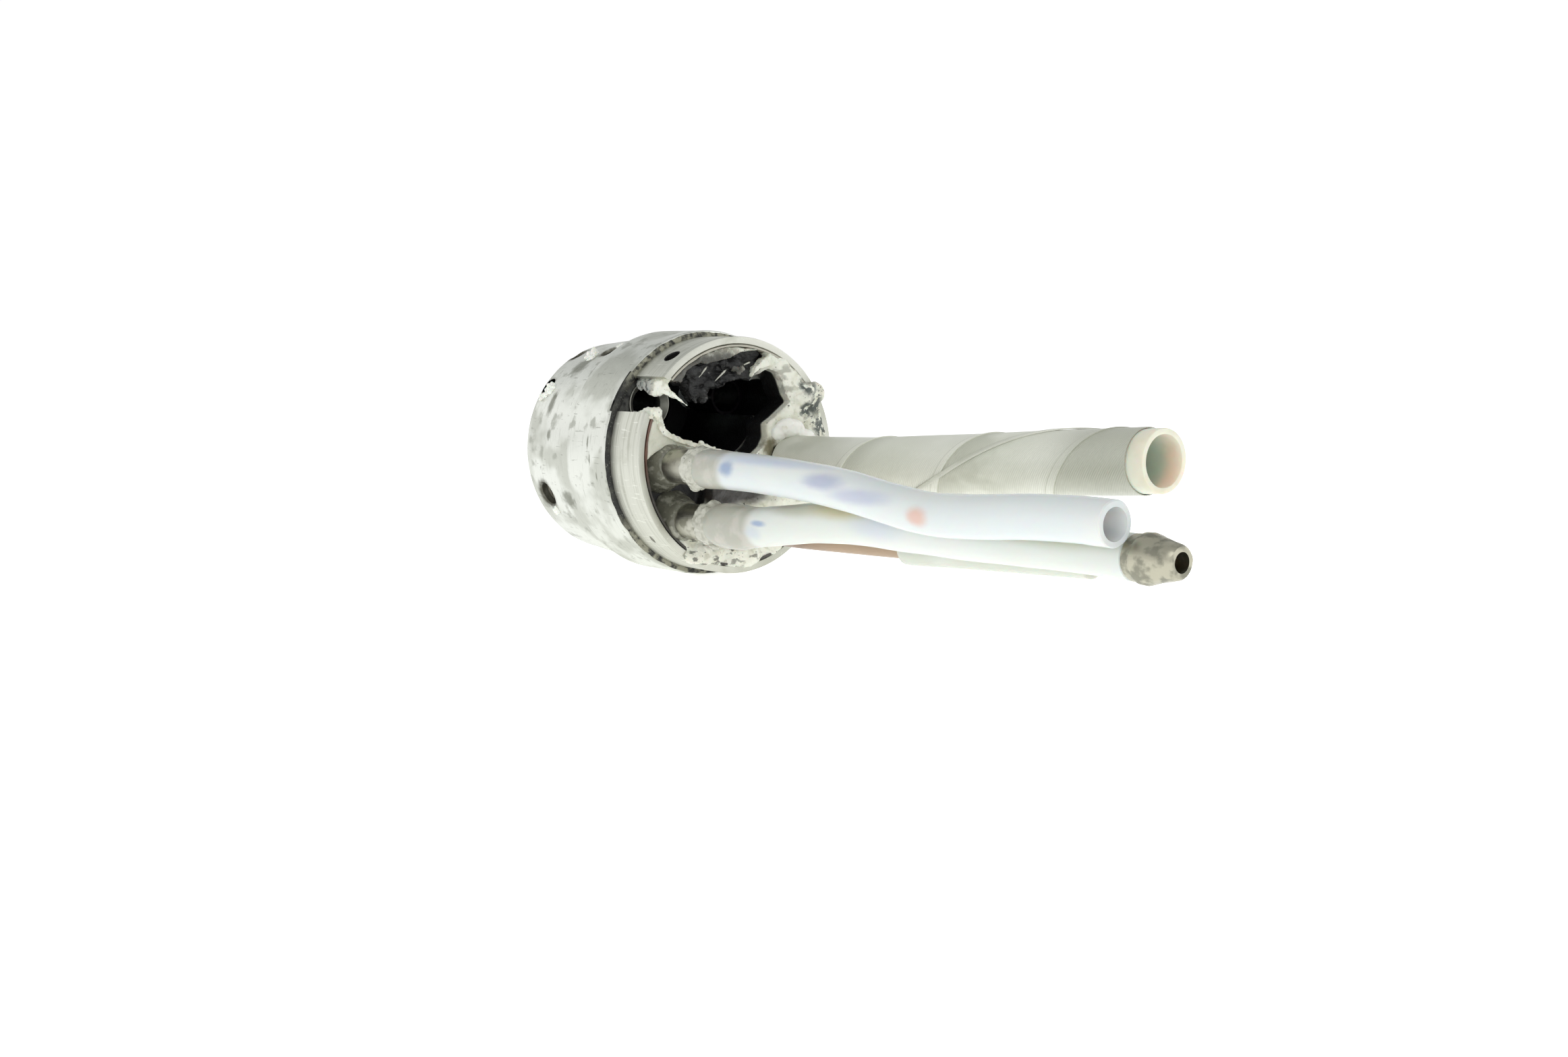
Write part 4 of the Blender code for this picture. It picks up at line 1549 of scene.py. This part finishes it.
    def build_shards(self, shop: Workshop) -> None:
        """Make the torn flakes at the slot's edges and at the cavity's rim.

        Args:
            shop: where the pieces are delivered.
        """
        lip = melt([prism(self.lip, -0.7, 0.14), lump((0.22, 0.26, 0.3), (0.1, -4.95, 2.15)),
                    lump((0.12, 0.16, 0.12), (0.1, -2.35, 0.66))], self.flake_voxel)
        roughen(lip, 0.45, 0.07)
        roughen(lip, 0.15, 0.03, seed=2)
        shard = roughen(melt([prism(self.shard, -0.5, 0.08)], self.flake_voxel), 0.35, 0.08, seed=6)
        # The flap hangs in from the slot's upper edge, and its tail dips into the cavity
        flap = drape(self.upper_flap, 5.75, 0.13,
                     lambda x, angle: max(angle - 50, 0) * 0.05 + max(x + 0.1, 0) * 0.75, self.flake_voxel)
        roughen(flap, 0.4, 0.06, seed=4)
        burr = drape(self.lower_burr, 5.72, 0.2, lambda x, angle: 0.0, self.flake_voxel)
        roughen(burr, 0.25, 0.08, seed=9)
        for name, flake in (("cavity_rim_lip", lip), ("cavity_top_shard", shard), ("slot_upper_flap", flap),
                            ("slot_lower_burr", burr)):
            shop.deliver(name, flake, [PottingResin(loose=True)])


@dataclass
class TornAdhesive:
    """The black adhesive left at the top of the camera's bore, torn into folds and drips."""

    outline: tuple[Point, ...] = (
        (1.6, 5.2), (1.0, 5.38), (0.2, 5.28), (-0.5, 5.02), (-1.3, 4.8), (-1.9, 4.66), (-2.3, 4.75),
        (-2.9, 4.5), (-3.35, 4.05), (-3.3, 3.75), (-2.95, 3.4), (-2.76, 3.14), (-2.5, 2.95), (-2.42, 2.62),
        (-2.3, 3.0), (-2.05, 2.95), (-1.95, 2.62), (-1.8, 3.05), (-1.45, 3.35), (-1.0, 3.3), (-0.55, 3.42),
        (-0.2, 3.8), (0.4, 3.95), (0.9, 4.05), (1.3, 4.5))
    x: Point = (-1.3, -0.35)
    slivers: tuple[tuple[Place, float, float], ...] = (
        ((-0.2, -2.15, 4.1), 0.52, 48.0), ((-0.18, -1.1, 3.95), 0.62, 40.0), ((-0.25, 0.55, 4.6), 0.4, 20.0))

    def build(self, shop: Workshop) -> None:
        """Make the torn mass, the fleck of resin in it and its stretched slivers.

        Args:
            shop: where the pieces are delivered.
        """
        folds = [prism(self.outline, *self.x),
                 lump((0.5, 0.75, 0.55), (-0.45, -2.5, 4.0)), lump((0.4, 0.5, 0.4), (-0.35, -1.5, 3.7)),
                 lump((0.35, 0.8, 0.3), (-0.4, -0.2, 4.6)), lump((0.3, 0.25, 0.6), (-0.3, -0.9, 4.3))]
        mass = melt(folds, 0.06)
        roughen(mass, 1.1, 0.34, seed=2)
        roughen(mass, 0.4, 0.09, seed=6)
        shop.deliver("torn_adhesive_folds", mass, [BlackSealant()], ["torn_adhesive"])
        fleck = roughen(lump((0.16, 0.36, 0.2), (-0.15, 0.02, 4.32)), 0.25, 0.22, seed=4)
        shop.deliver("adhesive_fleck", fleck, [PottingResin()])
        for number, (centre, length, angle) in enumerate(self.slivers):
            sliver = lathe([(-length, 0), (0, 0.035), (length * 0.7, 0.05), (length, 0)], 12)
            turn = Matrix.Rotation(math.radians(angle), 4, "X") @ Matrix.Rotation(math.radians(90), 4, "Z")
            bmesh.ops.transform(sliver, matrix=Matrix.Translation(centre) @ turn, verts=sliver.verts)
            shop.deliver(f"stretched_sliver_{number + 1}", sliver, [ClearGlue()])


@dataclass
class Optics:
    """What is left in the front face: the objective and the light-guide windows."""

    face_x: float = FACE_X + CLEAR
    barrel_r: float = 1.7
    lens_r: float = 1.29
    sleeve_wall: Point = (0.83, 0.95)       # inner and outer radius

    def build(self, shop: Workshop) -> None:
        """Make the barrel, its lenses and the light-guide ends.

        Args:
            shop: where the pieces are delivered.
        """
        wall = ring(self.face_x, -8.1, 1.32, self.barrel_r)
        barrel = ease(lathe(wall, MEDIUM, True, centre=CAMERA_YZ), 0.06)
        shop.deliver("objective_barrel_black", barrel, [BlackAnodised()], ["objective_barrel"])
        window = [(self.face_x, 0), (self.face_x, self.lens_r - 0.08), (self.face_x + 0.08, self.lens_r),
                  (self.face_x + 0.7, self.lens_r), (self.face_x + 0.62, 0.9), (self.face_x + 0.55, 0)]
        shop.deliver("objective_front_window", lathe(window, MEDIUM, centre=CAMERA_YZ),
                     [OpticalGlass()], ["objective_window"])
        spacer = ease(lathe(ring(-11.2, -10.4, self.lens_r - 0.35, self.lens_r), COARSE, True,
                            centre=CAMERA_YZ), 0.04)
        shop.deliver("lens_spacer_ring", spacer, [BlackAnodised()], ["lens_spacer"])
        bulge = [(-9.3 + 0.35 * math.cos(a), self.lens_r * math.sin(a))
                 for a in (math.pi / 2 * i / 8 for i in range(8, -1, -1))]
        hollow = [(-9.95 - 0.35 * math.cos(a), self.lens_r * math.sin(a))
                  for a in (math.pi / 2 * i / 8 for i in range(9))]
        shop.deliver("rear_lens_glass", lathe([*hollow, *bulge], COARSE, centre=CAMERA_YZ),
                     [OpticalGlass()], ["rear_lens"])
        inner, outer = self.sleeve_wall
        flare = [(-3.0, outer), (-2.74, 1.17), (-2.7, 1.185), (-2.69, 1.13), (-2.97, inner)]
        for side, yz, end in (("left", LEFT_LIGHT_YZ, flare),
                              ("right", RIGHT_LIGHT_YZ, [(-4.6, outer), (-4.6, inner)])):
            lens = ease(lathe(rod(self.face_x, -10.4, 0.72), COARSE, centre=yz), 0.05)
            shop.deliver(f"{side}_light_window", lens, [OpticalGlass()], [f"{side}_light_lens"])
            sleeve = lathe([(-6.97, inner), (-6.97, outer), *end], COARSE, True, 0.4, yz)
            shop.deliver(f"{side}_light_guide_sleeve", sleeve, [BlackenedSleeve()],
                         [f"{side}_light_sleeve"])


@dataclass
class Nozzle:
    """The air and water nozzle, a capped stem that blows across the objective."""

    yz: Point = NOZZLE_YZ
    front_x: float = FACE_X - 0.5
    face_x: float = FACE_X
    stem_r: float = 0.62
    cap_r: float = 0.74
    rear_x: float = -9.7

    def build(self, shop: Workshop) -> None:
        """Make the stem with its rounded cap, its way and its mouth.

        Args:
            shop: where the pieces are delivered.
        """
        front, under = self.front_x, self.face_x - CLEAR
        section = [(front, 0), (front, self.cap_r - 0.15), (front + 0.05, self.cap_r - 0.05),
                   (front + 0.15, self.cap_r), (under, self.cap_r), (under, self.stem_r),
                   (self.rear_x, self.stem_r), (self.rear_x, 0)]
        y, z = self.yz
        mouth = block((0.22, 0.5, 1.6), (0, 0, 0))
        bmesh.ops.transform(mouth, matrix=Matrix.Translation((self.face_x - 0.17, y + 0.5, z + 0.72))
                            @ Matrix.Rotation(math.radians(-35), 4, "X"), verts=mouth.verts)
        stem = carve(lathe(section, COARSE, centre=self.yz),
                     [lathe(rod(self.face_x - 0.25, self.rear_x + 0.5, 0.36), COARSE, centre=self.yz), mouth])
        shop.deliver("air_water_nozzle_steel", stem, [MachinedSteel(), BlackBore()],
                     ["air_water_nozzle"])


@dataclass
class SetScrews:
    """The two hexagon-socket set screws that are still in their holes."""

    # Node, x, degrees from the top towards -Y, radius, inner and outer end from the axis
    screws: tuple[tuple[str, float, float, float, float, float], ...] = (
        ("objective_screw", -11.2, 28.5, 0.37, 4.15, 5.1), ("nozzle_screw", -10.1, 115.0, 0.61, 4.75, 5.35))

    def build(self, shop: Workshop) -> None:
        """Make each screw with its chamfers and socket.

        Args:
            shop: where the pieces are delivered.
        """
        for node, x, angle, radius, inner, outer in self.screws:
            stock = ease(lathe(rod(inner, outer, radius), COARSE), radius * 0.14)
            socket = lathe(rod(outer - 0.3, outer + 0.5, radius * 0.5), 6)
            screw = carve(stock, [socket])
            shop.deliver(f"{node}_steel", radial(screw, x, angle), [GrimySteel(), BlackBore()],
                         [node])


@dataclass
class FluidLines:
    """The metal pipes in the resin, and the clear air, water and jet tubes on them."""

    pipe_r: float = 0.6
    bore_r: float = 0.42
    ferrule_r: float = 0.86
    ferrule_rear_x: float = 2.0
    pipe_rear_x: float = 4.4
    tube_r: float = 0.9
    wall: float = 0.25
    cuff_front_x: float = 2.9
    bend_x: Point = (4.5, 9.0)      # where the tubes start to bend and have bent
    air: Route = field(default_factory=lambda: Route([
        (2.0, -4.0, -0.43), (4.85, -4.0, -0.43), (7, -4.0, -0.45), (9.5, -4.06, -0.53), (12, -4.2, -0.66),
        (14.5, -4.35, -0.86), (17, -4.48, -1.16), (19.5, -4.52, -1.4), (22, -4.48, -1.36),
        (25, -4.42, -1.16), (27.5, -4.34, -1.07), (29.4, -4.29, -1.11)]))
    water: Route = field(default_factory=lambda: Route([
        (2.0, -3.22, -3.16), (4.85, -3.22, -3.16), (6.5, -3.23, -3.02), (8.5, -3.21, -2.77),
        (10.5, -3.18, -2.52), (13, -3.02, -2.4), (17, -2.92, -2.43), (21, -2.92, -2.44), (25, -2.93, -2.38),
        (29.2, -2.9, -2.42)]))
    jet: Route = field(default_factory=lambda: Route([
        (-1.0, -1.4, -3.6), (4.85, -1.4, -3.6), (7, -1.4, -3.61), (10, -1.38, -3.55), (14.9, -1.35, -3.42),
        (18, -1.27, -3.28), (21.5, -1.22, -3.15), (25.5, -1.2, -3.0)]))

    def tube_section(self, x0: float, x1: float, swell: Sequence[Point]) -> list[Point]:
        """The wall of a tube.

        Args:
            x0: its front end.
            x1: its rear end.
            swell: (x, outer radius) points where it is stretched, in order along x.

        Returns:
            The closed section.
        """
        bore = self.tube_r - self.wall
        return [(x0, self.pipe_r + 0.03), *swell, (x1 - 0.05, self.tube_r), (x1, self.tube_r - 0.05),
                (x1, bore), (self.pipe_rear_x + 0.5, bore), (self.pipe_rear_x + 0.15, self.pipe_r + 0.03)]

    def build_pipe(self, shop: Workshop, name: str, yz: Point, seed: int,
                   lumps: Sequence[tuple[Place, Place]]) -> None:
        """Make one metal pipe, its glue root in the resin and its glued binding.

        Args:
            shop: where the pieces are delivered.
            name: air or water.
            yz: the pipe's centre.
            seed: varies the glue.
            lumps: half sizes and middles of the drips on the binding.
        """
        step, rear = self.ferrule_rear_x, self.pipe_rear_x
        pipe = [(PIPE_FRONT_X, self.bore_r), (PIPE_FRONT_X, self.pipe_r), (RESIN_X, self.pipe_r),
                (RESIN_X, self.ferrule_r),
                (step - 0.08, self.ferrule_r), (step, self.ferrule_r - 0.08), (step, self.pipe_r),
                (rear, self.pipe_r), (rear, self.bore_r)]
        shop.deliver(f"{name}_metal_pipe", lathe(pipe, MEDIUM, True, centre=yz), [DrawnPipe()],
                     [f"{name}_pipe"])
        root = lathe([(-1.3, 0.8), (-1.3, 1.5), (-0.95, 1.42), (-0.6, 1.24), (-0.25, 1.1), (0.1, 1.0),
                      (0.28, 0.95), (0.36, 0.89), (0.36, 0.83)], MEDIUM, True, 0.12, yz)
        roughen(root, 0.7, 0.07, seed=seed)
        shop.deliver(f"{name}_root_fillet", root, [ClearGlue("#737365", "clouded_root_adhesive")])
        collar = lathe([(step - 0.1, 0.82), (step, 0.93), (step + 0.15, 1.01), (step + 0.4, 1.05),
                        (step + 0.65, 1.03), (step + 0.9, 0.95), (step + 1.0, 0.9), (step + 1.0, 0.63),
                        (step + 0.02, 0.63)], MEDIUM, True, centre=yz)
        binding = melt([collar, *(lump(size, place) for size, place in lumps)], 0.045)
        roughen(binding, 0.45, 0.1, seed=seed + 3)
        shop.deliver(f"{name}_glued_binding", binding, [ClearGlue()], [f"{name}_glue_ring"])

    def build_air_tube(self, shop: Workshop) -> None:
        """Make the air tube with its cuff and its blue inked marks.

        Args:
            shop: where the pieces are delivered.
        """
        ink_and_shade = (((5.75, -4.95, -0.25), (0.5, 0.6, 0.34), "#9DB2D3", 0.85),
               ((9.0, -4.9, 0.25), (4.0, 0.6, 0.25), "#C9D6EE", 0.7),
               ((13.2, -5.1, -0.45), (1.3, 0.5, 0.32), "#BDC5DD", 0.85),
               ((15.9, -5.2, -0.95), (1.9, 0.5, 0.3), "#CCD2E6", 0.8),
               ((19.7, -5.35, -1.5), (0.55, 0.5, 0.36), "#F0C0AE", 0.75))
        swell = [(2.92, 0.88), (3.0, 0.94), (3.4, 0.965), (4.2, 0.94), (4.8, 0.91), (6, 0.9),
                 (9, self.tube_r)]
        rear = self.air.points[-1][0]
        tube = lathe(self.tube_section(self.cuff_front_x, rear, swell), COARSE, True, 0.35)
        roughen(tube, 2.5, 0.02)
        shop.deliver("air_clear_tube", self.air.bend(tube),
                     [ClearTubing("#EEF3F3", "clear_air_tube", ink_and_shade, 5.0)],
                     ["air_tube", "air_tube_cuff"], bend=(Body.FLUID_LINES, *self.bend_x))

    def build_water_tube(self, shop: Workshop) -> None:
        """Make the water tube with its cuff, its inked marks, its stain, painted shade under the air tube and
        the stub at its end.

        Args:
            shop: where the pieces are delivered.
        """
        ink_and_shade = (((7.3, -4.1, -2.75), (0.5, 0.6, 0.13), "#9CB5DA", 0.8),
               ((6.9, -4.1, -3.2), (0.5, 0.6, 0.3), "#D5E0EA", 0.6),
               ((9.6, -3.5, -2.0), (1.7, 0.9, 0.3), "#D0D0BC", 0.75),
               ((12.6, -3.5, -1.75), (1.8, 1.0, 0.4), "#E2D9B2", 0.85),
               ((15.4, -3.8, -2.4), (1.5, 0.6, 0.45), "#E3EAF4", 0.7),
               # Painted shade, greenish, on the water tube's top where the air tube lies over it
               ((25.8, -3.6, -1.75), (3.0, 0.9, 0.5), "#D6DAC2", 0.8))
        swell = [(2.92, 0.9), (3.0, 1.0), (3.4, 1.08), (4.2, 1.1), (5.0, 1.08), (5.8, 0.99), (6.6, 0.94),
                 (9, self.tube_r + 0.02)]
        rear, *end_yz = self.water.points[-1]
        tube = lathe(self.tube_section(self.cuff_front_x, rear, swell), COARSE, True, 0.35)
        roughen(tube, 2.5, 0.02, seed=4)
        shop.deliver("water_clear_tube", self.water.bend(tube),
                     [ClearTubing("#EFF2EC", "clear_water_tube", ink_and_shade, 6.3)],
                     ["water_tube", "water_tube_cuff"], bend=(Body.FLUID_LINES, *self.bend_x))
        end = lathe([(29.1, 0.4), (29.1, 0.62), (29.23, 0.9), (29.6, 0.92), (29.7, 0.98), (30.0, 0.98),
                     (31.3, 0.67), (31.4, 0.6), (31.4, 0.4)], COARSE, True, 0.2, tuple(end_yz))
        roughen(end, 0.8, 0.03)
        shop.deliver("water_end_stub", end, [DrawnPipe("#B5B2A0")], ["water_stub"],
                     Body.FLUID_LINES)

    def build_jet_line(self, shop: Workshop) -> None:
        """Make the amber jet pipe and the clear tube that takes over from it.

        Args:
            shop: where the pieces are delivered.
        """
        pipe = lathe(ring(FACE_X + CLEAR, 14.9, 0.3, 0.45), COARSE, True, 0.5)
        shop.deliver("jet_amber_pipe", self.jet.bend(pipe), [PolyimideFilm()],
                     ["jet_pipe", "jet_pipe_root"], bend=(Body.FLUID_LINES, *self.bend_x))
        clear = lathe([(14.6, 0.46), (14.6, 0.6), (14.75, 0.7), (15.0, 0.72), (25.45, 0.72), (25.5, 0.67),
                       (25.5, 0.46)], COARSE, True, 0.5)
        # The jet tube is coloured greyer than the other tubes: painted shade, as it lies under the air and
        # water tubes
        shop.deliver("jet_clear_tube", self.jet.bend(clear), [ClearTubing("#DDE2D6", "clear_jet_tube_painted_shade")],
                     ["jet_tube"], Body.FLUID_LINES)

    def build(self, shop: Workshop) -> None:
        """Make the pipes, then each line.

        Args:
            shop: where the pieces are delivered.
        """
        self.build_pipe(shop, "air", AIR_YZ, 1,
                        [((0.4, 0.45, 0.16), (2.75, -4.0, 0.5)), ((0.3, 0.3, 0.26), (2.4, -4.25, -1.3))])
        self.build_pipe(shop, "water", WATER_YZ, 5,
                        [((0.3, 0.3, 0.16), (2.5, -3.3, -2.15)), ((0.3, 0.35, 0.16), (2.8, -3.4, -4.2))])
        channel = ease(lathe(ring(FACE_X + CLEAR, -0.02, 1.1, 1.3), MEDIUM, True, centre=CHANNEL_YZ), 0.03)
        shop.deliver("channel_metal_sleeve", channel, [DrawnPipe()], ["channel_pipe"])
        self.build_air_tube(shop)
        self.build_water_tube(shop)
        self.build_jet_line(shop)


@dataclass
class ChannelLine:
    """The instrument channel: a cream liner wound with tape over a fine coil."""

    route: Route = field(default_factory=lambda: Route([
        (0.0, 3.4, -0.45), (0.35, 3.4, -0.45), (3, 3.4, -0.42), (6, 3.4, -0.33), (10, 3.4, -0.12),
        (15, 3.4, 0.2), (20, 3.4, 0.53), (25, 3.4, 0.83)]))
    liner_r: float = 1.36
    bore_r: float = 1.1
    wrap_r: float = 1.48
    front_x: float = 0.1
    wrap_rear_x: float = 24.1
    rear_x: float = 25.0
    seam_x: float = 5.9
    seam_pitch: float = 7.4
    lap: float = 0.5
    strip_x: float = 14.0
    strip_pitch: float = 22.6
    strip_half: float = 0.3

    def build(self, shop: Workshop) -> None:
        """Make the liner, the tape and the narrow strip that crosses it.

        Args:
            shop: where the pieces are delivered.
        """
        crossing = (Body.CHANNEL_LINE, self.front_x, 4.0)
        wall = ring(self.front_x, self.rear_x, self.bore_r, self.liner_r)
        liner = ease(lathe(wall, COARSE, True, 0.4), 0.06)
        shop.deliver("channel_cream_liner", self.route.bend(liner), [ChannelLiner()],
                     ["channel_tube"], bend=crossing)
        lap = self.lap
        width = self.seam_pitch + lap
        low, high = self.liner_r + 0.015, self.wrap_r
        tape = wind(self.front_x + 0.05, self.wrap_rear_x, self.seam_x, self.seam_pitch,
                    [(-width, low), (-width, low + 0.05), (-width / 2, low + 0.065), (-lap, high - 0.06),
                     (-0.04, high), (0.0, high - 0.012), (0.0, high - 0.055), (-lap, low + 0.03)])
        roughen(tape, 1.5, 0.012)
        shop.deliver("channel_tape_winding", self.route.bend(tape), [WrapTape()], ["channel_wrap"],
                     bend=crossing)
        half, top = self.strip_half, high + 0.025
        strip = wind(self.front_x + 0.3, self.wrap_rear_x - 0.1, self.strip_x, self.strip_pitch,
                     [(-half, high - 0.03), (-half + 0.03, top), (half - 0.03, top), (half, high - 0.03)], 96)
        shop.deliver("channel_narrow_strip", self.route.bend(strip),
                     [WrapTape("#E4E6D9", "narrow_strip", 2 * half)], bend=crossing)


@dataclass
class Studio:
    """The white table, the soft light and the camera."""

    azimuth: float = -37.43         # degrees of the camera's back from +X towards +Y
    elevation: float = 5.01
    roll: float = 0.71
    stand: Place = (74.64, -54.14, 4.39)    # the camera, in mm of the tip's frame
    lens_mm: float = 41.8
    sensor_mm: float = 36.0
    floor_size: float = 6.0

    def build(self, shop: Workshop) -> None:
        """Make the floor, the lights and the camera.

        Args:
            shop: where the pieces are delivered.
        """
        scene = bpy.context.scene
        scene.view_settings.view_transform = "Standard"
        work = bmesh.new()
        bmesh.ops.create_grid(work, x_segments=8, y_segments=8, size=self.floor_size / 2)
        floor = as_object(work, "table_top")
        floor.data.materials.append(shop.material(StudioFloor()))
        world = bpy.data.worlds.new("soft_white_room")
        scene.world = world
        world.use_nodes = True
        world.node_tree.nodes.clear()
        way = add_node(world.node_tree, "TexCoord")
        height = add_node(world.node_tree, "SeparateXYZ", {0: way.outputs["Generated"]})
        rise = add_node(world.node_tree, "MapRange", {0: height.outputs["Z"], 1: 0.17, 2: 0.55},
                        interpolation_type="SMOOTHSTEP")
        glow = add_node(world.node_tree, "Mix", {
            0: rise.outputs[0], 6: (1.0, 1.0, 1.0, 1), 7: (0.56, 0.57, 0.57, 1)}, data_type="RGBA")
        sky = add_node(world.node_tree, "Background", {"Color": glow.outputs[2], "Strength": 1.02})
        add_node(world.node_tree, "OutputWorld", {"Surface": sky.outputs[0]})
        self.lamp("key_panel", (60, -110, 120), 90, 0.036)
        self.lamp("side_panel", (-120, -60, 70), 80, 0.01)
        self.lamp("rear_panel", (90, 120, 90), 80, 0.026)
        self.camera(shop)
        LOG.info("studio: floor, three panels and the camera")

    def lamp(self, name: str, place_mm: Place, size_mm: float, watts: float) -> None:
        """Hang a square soft panel that faces the tip.

        Args:
            name: the panel's name.
            place_mm: where it hangs from the origin of the frame.
            size_mm: its side.
            watts: its power.
        """
        light = bpy.data.lights.new(name, "AREA")
        light.shape, light.size, light.energy = "SQUARE", size_mm * MM, watts
        panel = bpy.data.objects.new(name, light)
        panel.location = Vector(place_mm) * MM
        panel.rotation_euler = (-panel.location).to_track_quat("-Z", "Y").to_euler()
        bpy.context.scene.collection.objects.link(panel)

    def camera(self, shop: Workshop) -> None:
        """Set up the camera from its stand, its direction and its roll.

        Args:
            shop: where the pieces are delivered.
        """
        turn, rise, roll = (math.radians(a) for a in (self.azimuth, self.elevation, self.roll))
        back = Vector((math.cos(rise) * math.cos(turn), math.cos(rise) * math.sin(turn), math.sin(rise)))
        right = Vector((0, 0, 1)).cross(back).normalized()
        up = back.cross(right)
        level = right * math.cos(roll) + up * math.sin(roll)
        tilt = up * math.cos(roll) - right * math.sin(roll)
        pose = Matrix((level, tilt, back)).transposed().to_4x4()
        pose.translation = shop.origin + Vector(self.stand) * MM
        lens = bpy.data.cameras.new("camera")
        lens.lens, lens.sensor_width, lens.sensor_fit = self.lens_mm, self.sensor_mm, "HORIZONTAL"
        lens.clip_start, lens.clip_end = 0.002, 20.0
        camera = bpy.data.objects.new("camera", lens)
        camera.matrix_world = pose
        bpy.context.scene.collection.objects.link(camera)
        bpy.context.scene.camera = camera


def main() -> None:
    """Load the frame, then make every sub-assembly and the studio."""
    logging.basicConfig(level=logging.INFO, format="%(name)s %(message)s")
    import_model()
    collar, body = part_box("rear_collar"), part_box("tip_body")
    origin = Vector((collar[1][0], (body[0][1] + body[1][1]) / 2, (body[0][2] + body[1][2]) / 2))
    shop = Workshop(origin)
    for assembly in (TipBody(), RearCollar(), Potting(), TornAdhesive(), Optics(), Nozzle(), SetScrews(),
                     FluidLines(), ChannelLine(), Studio()):
        assembly.build(shop)
        LOG.info("%s done", type(assembly).__name__)


if __name__ == "__main__":
    main()
